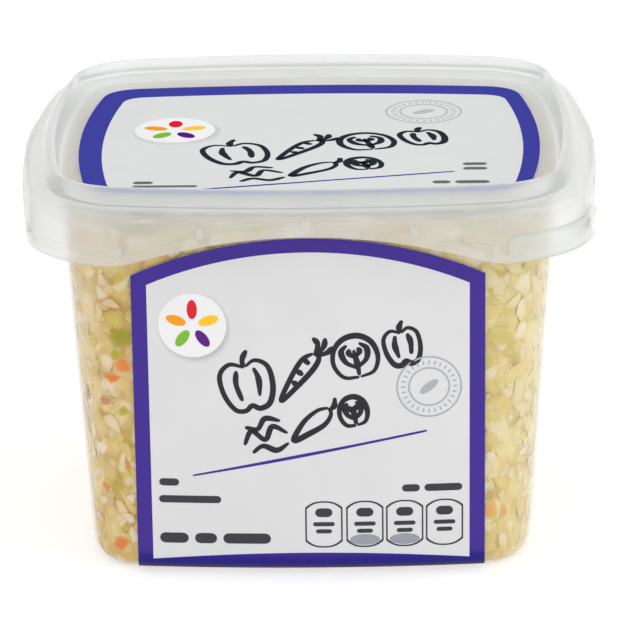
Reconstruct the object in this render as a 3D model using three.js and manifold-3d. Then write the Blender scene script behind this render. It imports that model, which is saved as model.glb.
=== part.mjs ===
// A tub of pepper slaw: a clear rounded-square deli tub with a press-on lid, a printed film label on its
// front, another on its lid, and the chopped slaw that fills it.
// Millimetres, +Z up. The origin is the centre of the tub's flat base, and the front label faces -Y.

import * as THREE from 'three';
import { mergeVertices } from 'three/addons/utils/BufferGeometryUtils.js';
import Module from 'manifold-3d';

const wasm = await Module();
wasm.setup();

// The tub: a drafted rounded square whose sides bulge a little
const BASE_HALF = 40.9;
const WALL_SLOPE = 0.0676;
const WALL_THICK = 0.9;
const FLOOR_THICK = 1.0;
const BASE_EDGE_RADIUS = 3.7;
const TUB_SIDE_RADIUS = 305;
const BASE_CORNER_RADIUS = 9.6;
const CORNER_GROWTH = 0.14;
const RIM_TOP = 68.6;
const RIM_THICK = 1.0;
const RIM_HALF = 49.6;
const RIM_LIP_THICK = 1.0;
const RIM_LIP_DROP = 1.4;

// The lid: a sunk panel inside a raised bead, a sloping shoulder and a skirt that hangs lower at the corners
const LID_SIDE_RADIUS = 226;
const PANEL_TOP = 69.8;
const PANEL_THICK = 0.9;
const PANEL_HALF = 45.7;
const BEAD_TOP = 73.9;
const BEAD_INNER_HALF = 46.5;
const BEAD_OUTER_HALF = 47.8;
const BEAD_ROUND = 0.45;
const BEAD_CORNER_RADIUS = 14.6;
const BEAD_FOOT_HALF = 48.9;
const BEAD_FOOT_Z = 71.8;
const SHOULDER_HALF = 51.6;
const SHOULDER_Z = 70.1;
const SKIRT_HALF = 52.5;
const SKIRT_CORNER_RADIUS = 21;
const SKIRT_THICK = 1.1;
const SKIRT_MID_BOTTOM = 66.7;
const SKIRT_CORNER_BOTTOM = 60.8;
const SKIRT_ARCH_RADIUS = 90;
const SKIRT_BAND_HEIGHT = 3.2;
const GROOVE_DEPTH = 0.7;
const FOOT_BEAD_HEIGHT = 1.5;
const RIB_PLACES = [-32.9, -18.6, 0, 18.6, 32.9];
const RIB_WIDTH = 1.5;
const RIB_DEPTH = 0.5;
const TAB_FRONT_START = 35;
const TAB_SIDE_END = 28.5;
const TAB_THICK = 1.1;
const TAB_BOTTOM = 61;
const TAB_TOP = 65.7;

// The film labels
const FILM_THICK = 0.4;
const FILM_GAP = 0.3;
const FRONT_LABEL_HALF = 31.25;
const FRONT_LABEL_BOTTOM = 0.6;
const FRONT_LABEL_EDGE_ROWS = [1.3, 2.3];
const FRONT_LABEL_CORNER_TOP = 57.3;
const FRONT_LABEL_ARCH_RADIUS = 71.4;
const LID_LABEL_HALF_X = 42.3;
const LID_LABEL_HALF_Y = 38.5;
const LID_LABEL_SIDE_RADIUS = 180;
const LID_LABEL_END_RADIUS = 290;
const LID_LABEL_CORNER = 8.5;

// The slaw
const GAP = 0.3;
const CORE_INSET = 1.5;
const CORE_TOP = 64.7;
const SIDE_CHIPS = 92;
const TOP_CHIPS = 38;
const CHIP_THICK = 1.7;
const TOP_CHIP_MARGIN = 5;
const SEED = 41;

const SIDE_STEPS = 8;
const CORNER_STEPS = 7;
const QUARTER_TURN = Math.PI / 2;

// A seeded random draw between 0 and 1
function seededRandom(seed) {
  let state = seed;
  return () => {
    state = (state + 0x6d2b79f5) | 0;
    let mixed = Math.imul(state ^ (state >>> 15), 1 | state);
    mixed = (mixed + Math.imul(mixed ^ (mixed >>> 7), 61 | mixed)) ^ mixed;
    return ((mixed ^ (mixed >>> 14)) >>> 0) / 4294967296;
  };
}

// A rounded square as a closed ring of points, counter-clockwise. Its half width is measured at mid-side,
// each side is an arc of side radius and each corner an arc of corner radius that meets the sides smoothly.
function roundedSquare(half, sideRadius, cornerRadius) {
  const offset = sideRadius - half;
  const reach = sideRadius - cornerRadius;
  const centre = (-2 * offset + Math.sqrt(8 * reach * reach - 4 * offset * offset)) / 4;
  const sweep = Math.atan2(centre, centre + offset);
  const points = [];
  for (let quarter = 0; quarter < 4; quarter += 1) {
    const turn = quarter * QUARTER_TURN;
    const add = (x, y) => points.push(new THREE.Vector2(x, y).rotateAround(new THREE.Vector2(), turn));
    for (let i = 0; i <= SIDE_STEPS; i += 1) {
      const angle = sweep * (2 * i / SIDE_STEPS - 1);
      add(sideRadius * Math.cos(angle) - offset, sideRadius * Math.sin(angle));
    }
    for (let i = 1; i < CORNER_STEPS; i += 1) {
      const angle = sweep + (QUARTER_TURN - 2 * sweep) * i / CORNER_STEPS;
      add(centre + cornerRadius * Math.cos(angle), centre + cornerRadius * Math.sin(angle));
    }
  }
  return points;
}

// How far a point of a ring lies from the middle of its side
const fromMidSide = (point) => Math.min(Math.abs(point.x), Math.abs(point.y));

// A ring of the part at a height, which may follow the place along the side
function ring(half, sideRadius, cornerRadius, height) {
  const rise = typeof height === 'function' ? height : () => height;
  return roundedSquare(half, sideRadius, cornerRadius).map(
    (point) => new THREE.Vector3(point.x, point.y, rise(fromMidSide(point))));
}

// The closed skin through a list of rings, with a fan over the first ring and over the last. The rings run
// so that the outside is on the right of their order when they are read from the first to the last.
function loft(rings) {
  const count = rings[0].length;
  const places = rings.flat().flatMap((point) => [point.x, point.y, point.z]);
  const faces = [];
  for (let level = 0; level + 1 < rings.length; level += 1) {
    for (let i = 0; i < count; i += 1) {
      const next = (i + 1) % count;
      const [a, b] = [level * count + i, level * count + next];
      const [c, d] = [a + count, b + count];
      faces.push(a, b, d, a, d, c);
    }
  }
  const fan = (level, flip) => {
    const centre = new THREE.Vector3();
    rings[level].forEach((point) => centre.add(point));
    centre.divideScalar(count);
    const hub = places.length / 3;
    places.push(centre.x, centre.y, centre.z);
    for (let i = 0; i < count; i += 1) {
      const [a, b] = [level * count + i, level * count + (i + 1) % count];
      faces.push(...(flip ? [hub, b, a] : [hub, a, b]));
    }
  };
  fan(0, true);
  fan(rings.length - 1, false);
  const geometry = new THREE.BufferGeometry();
  geometry.setAttribute('position', new THREE.Float32BufferAttribute(places, 3));
  geometry.setIndex(faces);
  return geometry;
}

// Booleans: a closed geometry as a solid, and a solid back as a geometry
function toSolid(geometry) {
  const bare = geometry.clone();
  bare.deleteAttribute('normal');
  bare.deleteAttribute('uv');
  const merged = mergeVertices(bare, 1e-4);
  return new wasm.Manifold(new wasm.Mesh({
    numProp: 3,
    vertProperties: new Float32Array(merged.attributes.position.array),
    triVerts: new Uint32Array(merged.index.array),
  }));
}

function toGeometry(solid) {
  const mesh = solid.getMesh();
  const geometry = new THREE.BufferGeometry();
  geometry.setAttribute('position', new THREE.BufferAttribute(new Float32Array(mesh.vertProperties), 3));
  geometry.setIndex(new THREE.BufferAttribute(new Uint32Array(mesh.triVerts), 1));
  return geometry;
}

// The tub's outer wall at a height, and the same wall moved inwards
const wallHalf = (height) => BASE_HALF + WALL_SLOPE * height;
const wallCorner = (height) => BASE_CORNER_RADIUS + CORNER_GROWTH * height;

function wallRing(height, inset) {
  return ring(wallHalf(height) - inset, TUB_SIDE_RADIUS - inset, wallCorner(height) - inset, height);
}

// How far the rounded edge of the base draws the wall in at a height
function edgeInset(height) {
  const below = Math.max(0, BASE_EDGE_RADIUS - height);
  return BASE_EDGE_RADIUS - Math.sqrt(BASE_EDGE_RADIUS ** 2 - below ** 2);
}

// The rings of the rounded lower edge, from the flat up to the wall
function edgeRings(floor, inset) {
  return [0, 1, 2, 3].map((step) => {
    const angle = step * QUARTER_TURN / 3;
    const rise = BASE_EDGE_RADIUS * (1 - Math.cos(angle));
    const drawnIn = inset + BASE_EDGE_RADIUS * (1 - Math.sin(angle));
    const half = wallHalf(rise) - drawnIn;
    return ring(half, TUB_SIDE_RADIUS - drawnIn, wallCorner(rise) - drawnIn, floor + rise);
  });
}

function makeTub() {
  const underRim = RIM_TOP - RIM_THICK;
  const lipBottom = underRim - RIM_LIP_DROP;
  const lipInner = RIM_HALF - RIM_LIP_THICK;
  const rimRing = (half, height) => ring(half, LID_SIDE_RADIUS, SKIRT_CORNER_RADIUS, height);
  return loft([
    ...edgeRings(0, 0),
    wallRing(underRim, 0),
    rimRing(lipInner, underRim),
    rimRing(lipInner, lipBottom),
    rimRing(RIM_HALF, lipBottom),
    rimRing(RIM_HALF, RIM_TOP),
    wallRing(RIM_TOP, WALL_THICK),
    ...edgeRings(FLOOR_THICK, WALL_THICK).reverse(),
  ]);
}

// The skirt's lower edge: an arch over each side and level round the corners
function skirtBottom(along) {
  return Math.max(SKIRT_CORNER_BOTTOM, SKIRT_MID_BOTTOM - along ** 2 / (2 * SKIRT_ARCH_RADIUS));
}

// One rib across the skirt's groove, set by its place along the side and by the side it is on
function makeRib(place, side) {
  const bottom = skirtBottom(Math.abs(place)) + FOOT_BEAD_HEIGHT - 0.2;
  const top = skirtBottom(Math.abs(place)) + SKIRT_BAND_HEIGHT + 0.1;
  const drop = LID_SIDE_RADIUS - Math.sqrt(LID_SIDE_RADIUS ** 2 - place ** 2);
  const face = SKIRT_HALF - drop - GROOVE_DEPTH - RIB_DEPTH / 2;
  const rib = new THREE.BoxGeometry(RIB_WIDTH, 2 * RIB_DEPTH, top - bottom);
  rib.rotateZ(Math.asin(place / LID_SIDE_RADIUS));
  rib.translate(place, -face - RIB_DEPTH / 2, (bottom + top) / 2);
  rib.rotateZ(side * QUARTER_TURN);
  return rib;
}

// The lift tab: a low plate that follows the skirt round the front right corner
function makeTab() {
  const inner = roundedSquare(SKIRT_HALF - SKIRT_THICK / 2, LID_SIDE_RADIUS, SKIRT_CORNER_RADIUS);
  const outer = roundedSquare(SKIRT_HALF + TAB_THICK, LID_SIDE_RADIUS, SKIRT_CORNER_RADIUS + TAB_THICK);
  const plate = new THREE.Shape(outer);
  plate.holes.push(new THREE.Path(inner.reverse()));
  const band = new THREE.ExtrudeGeometry(plate, { depth: TAB_TOP - TAB_BOTTOM, bevelEnabled: false });
  const size = SKIRT_HALF;
  const reach = new THREE.BoxGeometry(size, size, size);
  reach.translate(TAB_FRONT_START + size / 2, -TAB_SIDE_END - size / 2, TAB_TOP);
  return toSolid(band.translate(0, 0, TAB_BOTTOM)).intersect(toSolid(reach));
}

function makeLid() {
  const beadRing = (half, height) =>
    ring(half, LID_SIDE_RADIUS, BEAD_CORNER_RADIUS + half - BEAD_OUTER_HALF, height);
  const skirtRing = (half, height) => ring(half, LID_SIDE_RADIUS, SKIRT_CORNER_RADIUS + half - SKIRT_HALF, height);
  const bandTop = (along) => Math.min(SHOULDER_Z - 0.6, skirtBottom(along) + SKIRT_BAND_HEIGHT);
  const grooveHalf = SKIRT_HALF - GROOVE_DEPTH;
  const underside = PANEL_TOP - PANEL_THICK;
  const innerHalf = SKIRT_HALF - GROOVE_DEPTH - SKIRT_THICK + 0.2;
  const body = toSolid(loft([
    skirtRing(innerHalf - 0.6, underside),
    skirtRing(innerHalf, underside - 0.7),
    skirtRing(innerHalf, skirtBottom),
    skirtRing(SKIRT_HALF, skirtBottom),
    skirtRing(SKIRT_HALF, (along) => skirtBottom(along) + FOOT_BEAD_HEIGHT - 0.3),
    skirtRing(grooveHalf, (along) => skirtBottom(along) + FOOT_BEAD_HEIGHT),
    skirtRing(grooveHalf, (along) => bandTop(along) - 0.2),
    skirtRing(SKIRT_HALF - 0.3, bandTop),
    skirtRing(SHOULDER_HALF + 0.3, SHOULDER_Z - 0.3),
    skirtRing(SHOULDER_HALF, SHOULDER_Z),
    beadRing(BEAD_FOOT_HALF, BEAD_FOOT_Z),
    beadRing(BEAD_OUTER_HALF + 0.1, BEAD_TOP - BEAD_ROUND),
    beadRing(BEAD_OUTER_HALF - BEAD_ROUND, BEAD_TOP),
    beadRing(BEAD_INNER_HALF + BEAD_ROUND / 2, BEAD_TOP),
    beadRing(BEAD_INNER_HALF, BEAD_TOP - BEAD_ROUND),
    beadRing(PANEL_HALF, PANEL_TOP),
  ]));
  const extras = [makeTab()];
  for (let side = 0; side < 4; side += 1) {
    RIB_PLACES.forEach((place) => extras.push(toSolid(makeRib(place, side))));
  }
  return toGeometry(extras.reduce((solid, extra) => solid.add(extra), body));
}

// The front label: a film that follows the bulging wall and turns in over the rounded lower edge
function makeFrontLabel() {
  const across = 14;
  const cornerDrop = FRONT_LABEL_ARCH_RADIUS - Math.sqrt(FRONT_LABEL_ARCH_RADIUS ** 2 - FRONT_LABEL_HALF ** 2);
  const apex = FRONT_LABEL_CORNER_TOP + cornerDrop;
  const topAt = (x) => apex - FRONT_LABEL_ARCH_RADIUS + Math.sqrt(FRONT_LABEL_ARCH_RADIUS ** 2 - x ** 2);
  const rowsAt = (x) => [FRONT_LABEL_BOTTOM, ...FRONT_LABEL_EDGE_ROWS, BASE_EDGE_RADIUS, topAt(x) / 2, topAt(x)];
  const rows = rowsAt(0).length;
  const places = [];
  const skin = (lift) => {
    for (let row = 0; row < rows; row += 1) {
      for (let i = 0; i <= across; i += 1) {
        const x = FRONT_LABEL_HALF * (2 * i / across - 1);
        const z = rowsAt(x)[row];
        const drop = TUB_SIDE_RADIUS - Math.sqrt(TUB_SIDE_RADIUS ** 2 - x ** 2);
        places.push(x, -(wallHalf(z) - edgeInset(z) - drop + lift), z);
      }
    }
  };
  skin(FILM_GAP + FILM_THICK);
  skin(FILM_GAP);
  const back = rows * (across + 1);
  const at = (row, i) => row * (across + 1) + i;
  const faces = [];
  for (let row = 0; row + 1 < rows; row += 1) {
    for (let i = 0; i < across; i += 1) {
      const [a, b, c, d] = [at(row, i), at(row, i + 1), at(row + 1, i), at(row + 1, i + 1)];
      faces.push(a, b, d, a, d, c);
      faces.push(back + a, back + d, back + b, back + a, back + c, back + d);
    }
  }
  const edge = (from, to) => faces.push(from, back + from, back + to, from, back + to, to);
  for (let i = 0; i < across; i += 1) {
    edge(at(0, i), at(0, i + 1));
    edge(at(rows - 1, i + 1), at(rows - 1, i));
  }
  for (let row = 0; row + 1 < rows; row += 1) {
    edge(at(row + 1, 0), at(row, 0));
    edge(at(row, across), at(row + 1, across));
  }
  const geometry = new THREE.BufferGeometry();
  geometry.setAttribute('position', new THREE.Float32BufferAttribute(places, 3));
  geometry.setIndex(faces);
  return geometry;
}

// The lid label: a flat film with bowed edges and round corners, lying on the sunk panel
function makeLidLabel() {
  const endX = LID_LABEL_HALF_X - LID_LABEL_CORNER - 3;
  const endY = LID_LABEL_HALF_Y - LID_LABEL_CORNER - 2;
  const sideX = LID_LABEL_HALF_X - endY ** 2 / (2 * LID_LABEL_SIDE_RADIUS);
  const sideY = LID_LABEL_HALF_Y - endX ** 2 / (2 * LID_LABEL_END_RADIUS);
  const tipX = sideX - (sideY - endY) * endY / LID_LABEL_SIDE_RADIUS;
  const tipY = sideY - (sideX - endX) * endX / LID_LABEL_END_RADIUS;
  const shape = new THREE.Shape();
  shape.moveTo(sideX, -endY);
  shape.quadraticCurveTo(2 * LID_LABEL_HALF_X - sideX, 0, sideX, endY);
  shape.quadraticCurveTo(tipX, tipY, endX, sideY);
  shape.quadraticCurveTo(0, 2 * LID_LABEL_HALF_Y - sideY, -endX, sideY);
  shape.quadraticCurveTo(-tipX, tipY, -sideX, endY);
  shape.quadraticCurveTo(sideX - 2 * LID_LABEL_HALF_X, 0, -sideX, -endY);
  shape.quadraticCurveTo(-tipX, -tipY, -endX, -sideY);
  shape.quadraticCurveTo(0, sideY - 2 * LID_LABEL_HALF_Y, endX, -sideY);
  shape.quadraticCurveTo(tipX, -tipY, sideX, -endY);
  const film = new THREE.ExtrudeGeometry(shape, { depth: FILM_THICK, bevelEnabled: false, curveSegments: 8 });
  return film.translate(0, 0, PANEL_TOP + FILM_GAP);
}

// One chopped piece: a flat strip, narrower at one end and a little bent, lying in its XY plane
function makeChip(length, width, taper, bend) {
  const chip = new THREE.BoxGeometry(length, width, CHIP_THICK);
  const place = chip.attributes.position;
  for (let i = 0; i < place.count; i += 1) {
    const along = place.getX(i) / length;
    place.setY(i, place.getY(i) * (1 - taper * (along + 0.5)) + bend * along);
  }
  return chip;
}

// The space inside the tub that the slaw may fill, as a solid
function slawSpace(inset, top) {
  const floor = FLOOR_THICK + GAP;
  return toSolid(loft([...edgeRings(floor, WALL_THICK + inset), wallRing(top, WALL_THICK + inset)]));
}

function makeSlaw() {
  const random = seededRandom(SEED);
  const between = (low, high) => low + (high - low) * random();
  const chipShape = () => makeChip(between(4.5, 10), between(2.2, 4.2), between(0, 0.5), between(-0.8, 0.8));
  const chips = [];

  // Round the walls, in even steps of the perimeter with the height spread by the golden ratio
  const golden = (Math.sqrt(5) - 1) / 2;
  const [low, high] = [FLOOR_THICK + 4, CORE_TOP - 1.5];
  for (let i = 0; i < SIDE_CHIPS; i += 1) {
    const height = low + (high - low) * ((i * golden) % 1);
    const outlinePoints = wallRing(height, WALL_THICK + GAP + CHIP_THICK / 2 + between(0, 0.35));
    const perimeterPlace = (i + between(0, 0.9)) / SIDE_CHIPS * outlinePoints.length;
    const index = Math.floor(perimeterPlace) % outlinePoints.length;
    const [from, to] = [outlinePoints[index], outlinePoints[(index + 1) % outlinePoints.length]];
    const centre = from.clone().lerp(to, perimeterPlace - Math.floor(perimeterPlace));
    const heading = Math.atan2(to.y - from.y, to.x - from.x);
    const chip = chipShape();
    chip.rotateZ(between(0, Math.PI));
    chip.rotateX(QUARTER_TURN);
    chip.rotateX(-Math.atan(WALL_SLOPE));
    chip.rotateZ(heading);
    chips.push(chip.translate(centre.x, centre.y, centre.z));
  }

  // Over the top, on a spiral of even spacing, some of them tipped up a little
  const reach = (wallHalf(CORE_TOP) - WALL_THICK - TOP_CHIP_MARGIN);
  for (let i = 0; i < TOP_CHIPS; i += 1) {
    const angle = i * 2 * Math.PI * golden;
    const radius = Math.sqrt((i + 0.5) / TOP_CHIPS);
    const square = 1 / Math.max(Math.abs(Math.cos(angle)), Math.abs(Math.sin(angle)));
    const spread = radius * reach * (1 + 0.75 * (square - 1));
    const chip = chipShape();
    chip.rotateX(between(-0.2, 0.2));
    chip.rotateY(between(-0.12, 0.12));
    chip.rotateZ(between(0, Math.PI));
    chips.push(chip.translate(spread * Math.cos(angle), spread * Math.sin(angle), CORE_TOP + between(0.2, 0.8)));
  }

  const core = slawSpace(CORE_INSET + GAP, CORE_TOP);
  const heap = chips.reduce((solid, chip) => solid.add(toSolid(chip)), core);
  const inside = heap.intersect(slawSpace(GAP, RIM_TOP));
  const bodies = inside.decompose().sort((a, b) => b.volume() - a.volume());
  return toGeometry(bodies[0]);
}

const clearPlastic = new THREE.MeshStandardMaterial(
  { color: 0xe9ece6, roughness: 0.15, metalness: 0, transparent: true, opacity: 0.3 });
const frostedPlastic = new THREE.MeshStandardMaterial(
  { color: 0xe6e9e8, roughness: 0.3, metalness: 0, transparent: true, opacity: 0.55 });
const chopped = new THREE.MeshStandardMaterial({ color: 0xdccf9f, roughness: 0.45, metalness: 0 });
const frontFilm = new THREE.MeshStandardMaterial({ color: 0xe4e4e6, roughness: 0.35, metalness: 0 });
const lidFilm = new THREE.MeshStandardMaterial({ color: 0xe0e2e4, roughness: 0.35, metalness: 0 });

const pieces = [
  ['tub', makeTub(), clearPlastic],
  ['lid', makeLid(), frostedPlastic],
  ['slaw', makeSlaw(), chopped],
  ['label_front', makeFrontLabel(), frontFilm],
  ['label_lid', makeLidLabel(), lidFilm],
];

const slawTub = new THREE.Group();
pieces.forEach(([name, geometry, material]) => {
  const mesh = new THREE.Mesh(geometry, material);
  mesh.name = name;
  slawTub.add(mesh);
});

export default slawTub;
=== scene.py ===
"""Dresses the pepper slaw tub: clear tub, frosted lid, printed film labels and the chopped slaw inside.

Sizes are in millimetres in the part's own frame, and meshes are made in metres. The front label faces -Y.
"""

from __future__ import annotations

import logging
import math
from dataclasses import dataclass
from enum import Enum
from typing import Callable, Iterable, Sequence

import bmesh
import bpy
import numpy as np
from mathutils import Matrix, Vector, noise

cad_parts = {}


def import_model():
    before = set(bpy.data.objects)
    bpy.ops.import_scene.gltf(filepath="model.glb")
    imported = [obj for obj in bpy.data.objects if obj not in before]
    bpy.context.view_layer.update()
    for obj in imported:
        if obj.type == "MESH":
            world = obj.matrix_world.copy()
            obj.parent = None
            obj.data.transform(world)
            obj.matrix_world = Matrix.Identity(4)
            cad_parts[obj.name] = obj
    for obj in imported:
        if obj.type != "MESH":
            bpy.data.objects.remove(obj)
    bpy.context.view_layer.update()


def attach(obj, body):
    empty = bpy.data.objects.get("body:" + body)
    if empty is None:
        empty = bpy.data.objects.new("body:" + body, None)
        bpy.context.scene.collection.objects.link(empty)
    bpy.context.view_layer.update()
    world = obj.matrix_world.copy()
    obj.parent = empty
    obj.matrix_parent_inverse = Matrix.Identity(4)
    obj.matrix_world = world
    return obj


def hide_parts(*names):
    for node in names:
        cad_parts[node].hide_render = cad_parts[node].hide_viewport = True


MM = 0.001
BODY = "root"
LOG = logging.getLogger("slaw_tub")

Point = tuple[float, float]
Colour = tuple[float, float, float]
Socket = bpy.types.NodeSocket


def linear(red: float, green: float, blue: float) -> Colour:
    """Turns a display colour of 0 to 255 into the linear values that shaders take.

    Args:
        red: Red, 0 to 255.
        green: Green, 0 to 255.
        blue: Blue, 0 to 255.

    Returns:
        The linear red, green and blue.
    """
    def channel(value: float) -> float:
        """Returns one linear channel."""
        share = value / 255.0
        return share / 12.92 if share <= 0.04045 else ((share + 0.055) / 1.055) ** 2.4
    return channel(red), channel(green), channel(blue)


# Finishes

class Paint:
    """A material under construction: its node tree and a few short ways to add nodes."""

    def __init__(self, name: str) -> None:
        """Starts an empty node material.

        Args:
            name: The material's name.
        """
        self.material = bpy.data.materials.new(name)
        self.material.use_nodes = True
        self.tree = self.material.node_tree
        self.tree.nodes.clear()
        self.output = self.tree.nodes.new("ShaderNodeOutputMaterial")

    def node(self, kind: str, **values: object) -> bpy.types.Node:
        """Adds a node and sets its inputs by name.

        Args:
            kind: The node's type without the leading ShaderNode.
            **values: Input values, with underscores for spaces.

        Returns:
            The new node.
        """
        made = self.tree.nodes.new("ShaderNode" + kind)
        for key, value in values.items():
            made.inputs[key.replace("_", " ")].default_value = value
        return made

    def link(self, source: Socket, target: Socket) -> None:
        """Links one socket to another."""
        self.tree.links.new(source, target)

    def noise(self, scale: float, detail: float = 3.0) -> Socket:
        """Adds noise in object space.

        Args:
            scale: Cells for each metre.
            detail: Octaves.

        Returns:
            The noise value's socket.
        """
        place = self.node("TexCoord")
        made = self.node("TexNoise", Scale=scale, Detail=detail, Roughness=0.5)
        self.link(place.outputs["Object"], made.inputs["Vector"])
        return made.outputs["Fac"]

    def ramp(self, source: Socket, stops: Sequence[tuple[float, Colour]]) -> Socket:
        """Adds a colour ramp over a value.

        Args:
            source: The value's socket.
            stops: Places and colours.

        Returns:
            The colour socket.
        """
        made = self.tree.nodes.new("ShaderNodeValToRGB")
        band = made.color_ramp.elements
        while len(band) < len(stops):
            band.new(0.5)
        for stop, (place, colour) in zip(band, stops):
            stop.position = place
            stop.color = (*colour, 1.0)
        self.link(source, made.inputs["Fac"])
        return made.outputs["Color"]

    def blend(self, share: Socket | float, first: object, second: object,
              how: str = "MIX") -> Socket:
        """Mixes two colours.

        Args:
            share: The share of the second, as a socket or a number.
            first: A colour or a socket.
            second: A colour or a socket.
            how: The mix node's blend type.

        Returns:
            The mixed colour's socket.
        """
        made = self.tree.nodes.new("ShaderNodeMix")
        made.data_type = "RGBA"
        made.blend_type = how
        for value, socket in ((share, made.inputs[0]), (first, made.inputs[6]), (second, made.inputs[7])):
            if isinstance(value, Socket):
                self.link(value, socket)
            elif isinstance(value, tuple):
                socket.default_value = (*value, 1.0)
            else:
                socket.default_value = value
        return made.outputs[2]

    def span(self, axis: str, low: float, high: float) -> Socket:
        """Adds a value that runs from 0 to 1 between two places along an axis.

        Args:
            axis: X, Y or Z.
            low: The place of the value 0, in metres.
            high: The place of the value 1, in metres.

        Returns:
            The value's socket.
        """
        place = self.node("TexCoord")
        parts = self.node("SeparateXYZ")
        self.link(place.outputs["Object"], parts.inputs[0])
        share = self.node("MapRange", From_Min=low, From_Max=high)
        self.link(parts.outputs[axis], share.inputs["Value"])
        return share.outputs[0]

    def math(self, operation: str, first: object, second: object) -> Socket:
        """Adds a sum of two values.

        Args:
            operation: The math node's operation.
            first: A socket or a number.
            second: A socket or a number.

        Returns:
            The result's socket.
        """
        made = self.node("Math")
        made.operation = operation
        for value, socket in ((first, made.inputs[0]), (second, made.inputs[1])):
            if isinstance(value, Socket):
                self.link(value, socket)
            else:
                socket.default_value = value
        return made.outputs[0]

    def bump(self, height: Socket, strength: float, distance: float) -> Socket:
        """Adds bump from a height.

        Args:
            height: The height socket.
            strength: 0 to 1.
            distance: Height in metres.

        Returns:
            The normal socket.
        """
        made = self.node("Bump", Strength=strength, Distance=distance)
        self.link(height, made.inputs["Height"])
        return made.outputs["Normal"]

    def skin(self, colour: Socket, roughness: float, index: float = 1.5, gloss: float = 0.5,
             normal: Socket | None = None) -> bpy.types.Material:
        """Ends the material with a plain skin.

        Args:
            colour: The colour's socket.
            roughness: 0 to 1.
            index: Index of refraction.
            gloss: Strength of the specular reflection.
            normal: The bumped normal's socket.

        Returns:
            The finished material.
        """
        skin = self.node("BsdfPrincipled", Roughness=roughness, IOR=index)
        skin.inputs["Specular IOR Level"].default_value = gloss
        self.link(colour, skin.inputs["Base Color"])
        if normal is not None:
            self.link(normal, skin.inputs["Normal"])
        self.link(skin.outputs[0], self.output.inputs["Surface"])
        return self.material


@dataclass(frozen=True)
class SheerPlastic:
    """Moulded plastic that light passes: clear where milk and blur are low, frosted where they are high."""

    name: str
    tint: Colour
    milk: float
    edge_milk: float
    gloss_roughness: float
    blur: float = 0.0
    blur_index: float = 1.2
    wave_scale: float = 60.0
    wave_height: float = 0.00003
    body: Colour = (0.82, 0.835, 0.83)
    least_gloss: float = 0.03
    most_gloss: float = 0.55
    edge_power: float = 1.0

    def _through(self, paint: Paint, normal: Socket) -> Socket:
        """Adds the share that passes: straight where the plastic is clear, scattered where it is frosted."""
        if self.blur <= 0.0:
            clear = paint.node("BsdfTransparent")
            clear.inputs["Color"].default_value = (*self.tint, 1.0)
            return clear.outputs[0]
        frosted = paint.node("BsdfRefraction", Roughness=self.blur, IOR=self.blur_index)
        frosted.inputs["Color"].default_value = (*self.tint, 1.0)
        paint.link(normal, frosted.inputs["Normal"])
        return frosted.outputs[0]

    def make(self) -> bpy.types.Material:
        """Builds the material: passing, milky and glossy shares, milkier where it is seen edge on."""
        paint = Paint(self.name)
        normal = paint.bump(paint.noise(self.wave_scale, 2.0), 0.4, self.wave_height)
        milky = paint.node("BsdfPrincipled", Base_Color=(*self.body, 1.0), Roughness=0.5)
        paint.link(normal, milky.inputs["Normal"])
        glow = paint.node("BsdfTranslucent", Color=(*self.body, 1.0))
        body = paint.node("MixShader", Fac=0.4)
        paint.link(milky.outputs[0], body.inputs[1])
        paint.link(glow.outputs[0], body.inputs[2])
        facing = paint.node("LayerWeight", Blend=0.35)
        share = paint.node("MapRange", To_Min=self.milk, To_Max=self.edge_milk)
        paint.link(paint.math("POWER", facing.outputs["Facing"], self.edge_power), share.inputs["Value"])
        cloud = paint.node("MapRange", From_Min=0.3, From_Max=0.7, To_Min=0.9, To_Max=1.1)
        paint.link(paint.noise(self.wave_scale), cloud.inputs["Value"])
        scaled = paint.math("MULTIPLY", share.outputs[0], cloud.outputs[0])
        sheer = paint.node("MixShader")
        paint.link(scaled, sheer.inputs[0])
        paint.link(self._through(paint, normal), sheer.inputs[1])
        paint.link(body.outputs[0], sheer.inputs[2])
        shine = paint.node("BsdfAnisotropic", Color=(1.0, 1.0, 1.0, 1.0), Roughness=self.gloss_roughness)
        paint.link(normal, shine.inputs["Normal"])
        weight = paint.node("LayerWeight", Blend=0.5)
        steep = paint.math("POWER", weight.outputs["Facing"], 4.0)
        rise = paint.node("MapRange", To_Min=self.least_gloss, To_Max=self.most_gloss)
        paint.link(steep, rise.inputs["Value"])
        side = paint.node("NewGeometry")
        front = paint.math("SUBTRACT", 1.0, side.outputs["Backfacing"])
        whole = paint.node("MixShader")
        paint.link(paint.math("MULTIPLY", rise.outputs[0], front), whole.inputs[0])
        paint.link(sheer.outputs[0], whole.inputs[1])
        paint.link(shine.outputs[0], whole.inputs[2])
        paint.link(whole.outputs[0], paint.output.inputs["Surface"])
        return paint.material


@dataclass(frozen=True)
class PrintedFilm:
    """Satin printed film: one field of colour with a faint unevenness, which may darken towards its foot as
    painted shade where the film curves under.
    """

    name: str
    colour: Colour
    roughness: float = 0.38
    unevenness: float = 0.03
    specular: float = 0.22
    # painted shade: darker colours towards the film's foot, where the label curves under the tub's lower edge
    foot_shade_colours: tuple[Colour, ...] = ()
    foot_shade_heights: tuple[float, float] = (0.0008, 0.0043)

    def make(self) -> bpy.types.Material:
        """Builds the material."""
        paint = Paint(self.name)
        darker = tuple(channel * (1.0 - self.unevenness) for channel in self.colour)
        colour = paint.ramp(paint.noise(90.0), ((0.3, darker), (0.7, self.colour)))
        # painted shade: a ramp from the darkest colour at the foot up to the film's own colour, in place of
        # its unevenness
        if self.foot_shade_colours:
            steps = len(self.foot_shade_colours)
            stops = [(at / steps, tint) for at, tint in enumerate((*self.foot_shade_colours, self.colour))]
            colour = paint.ramp(paint.span("Z", *self.foot_shade_heights), stops)
        return paint.skin(colour, self.roughness, 1.45, self.specular,
                          paint.bump(paint.noise(45.0, 2.0), 0.25, 0.00002))


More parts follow.
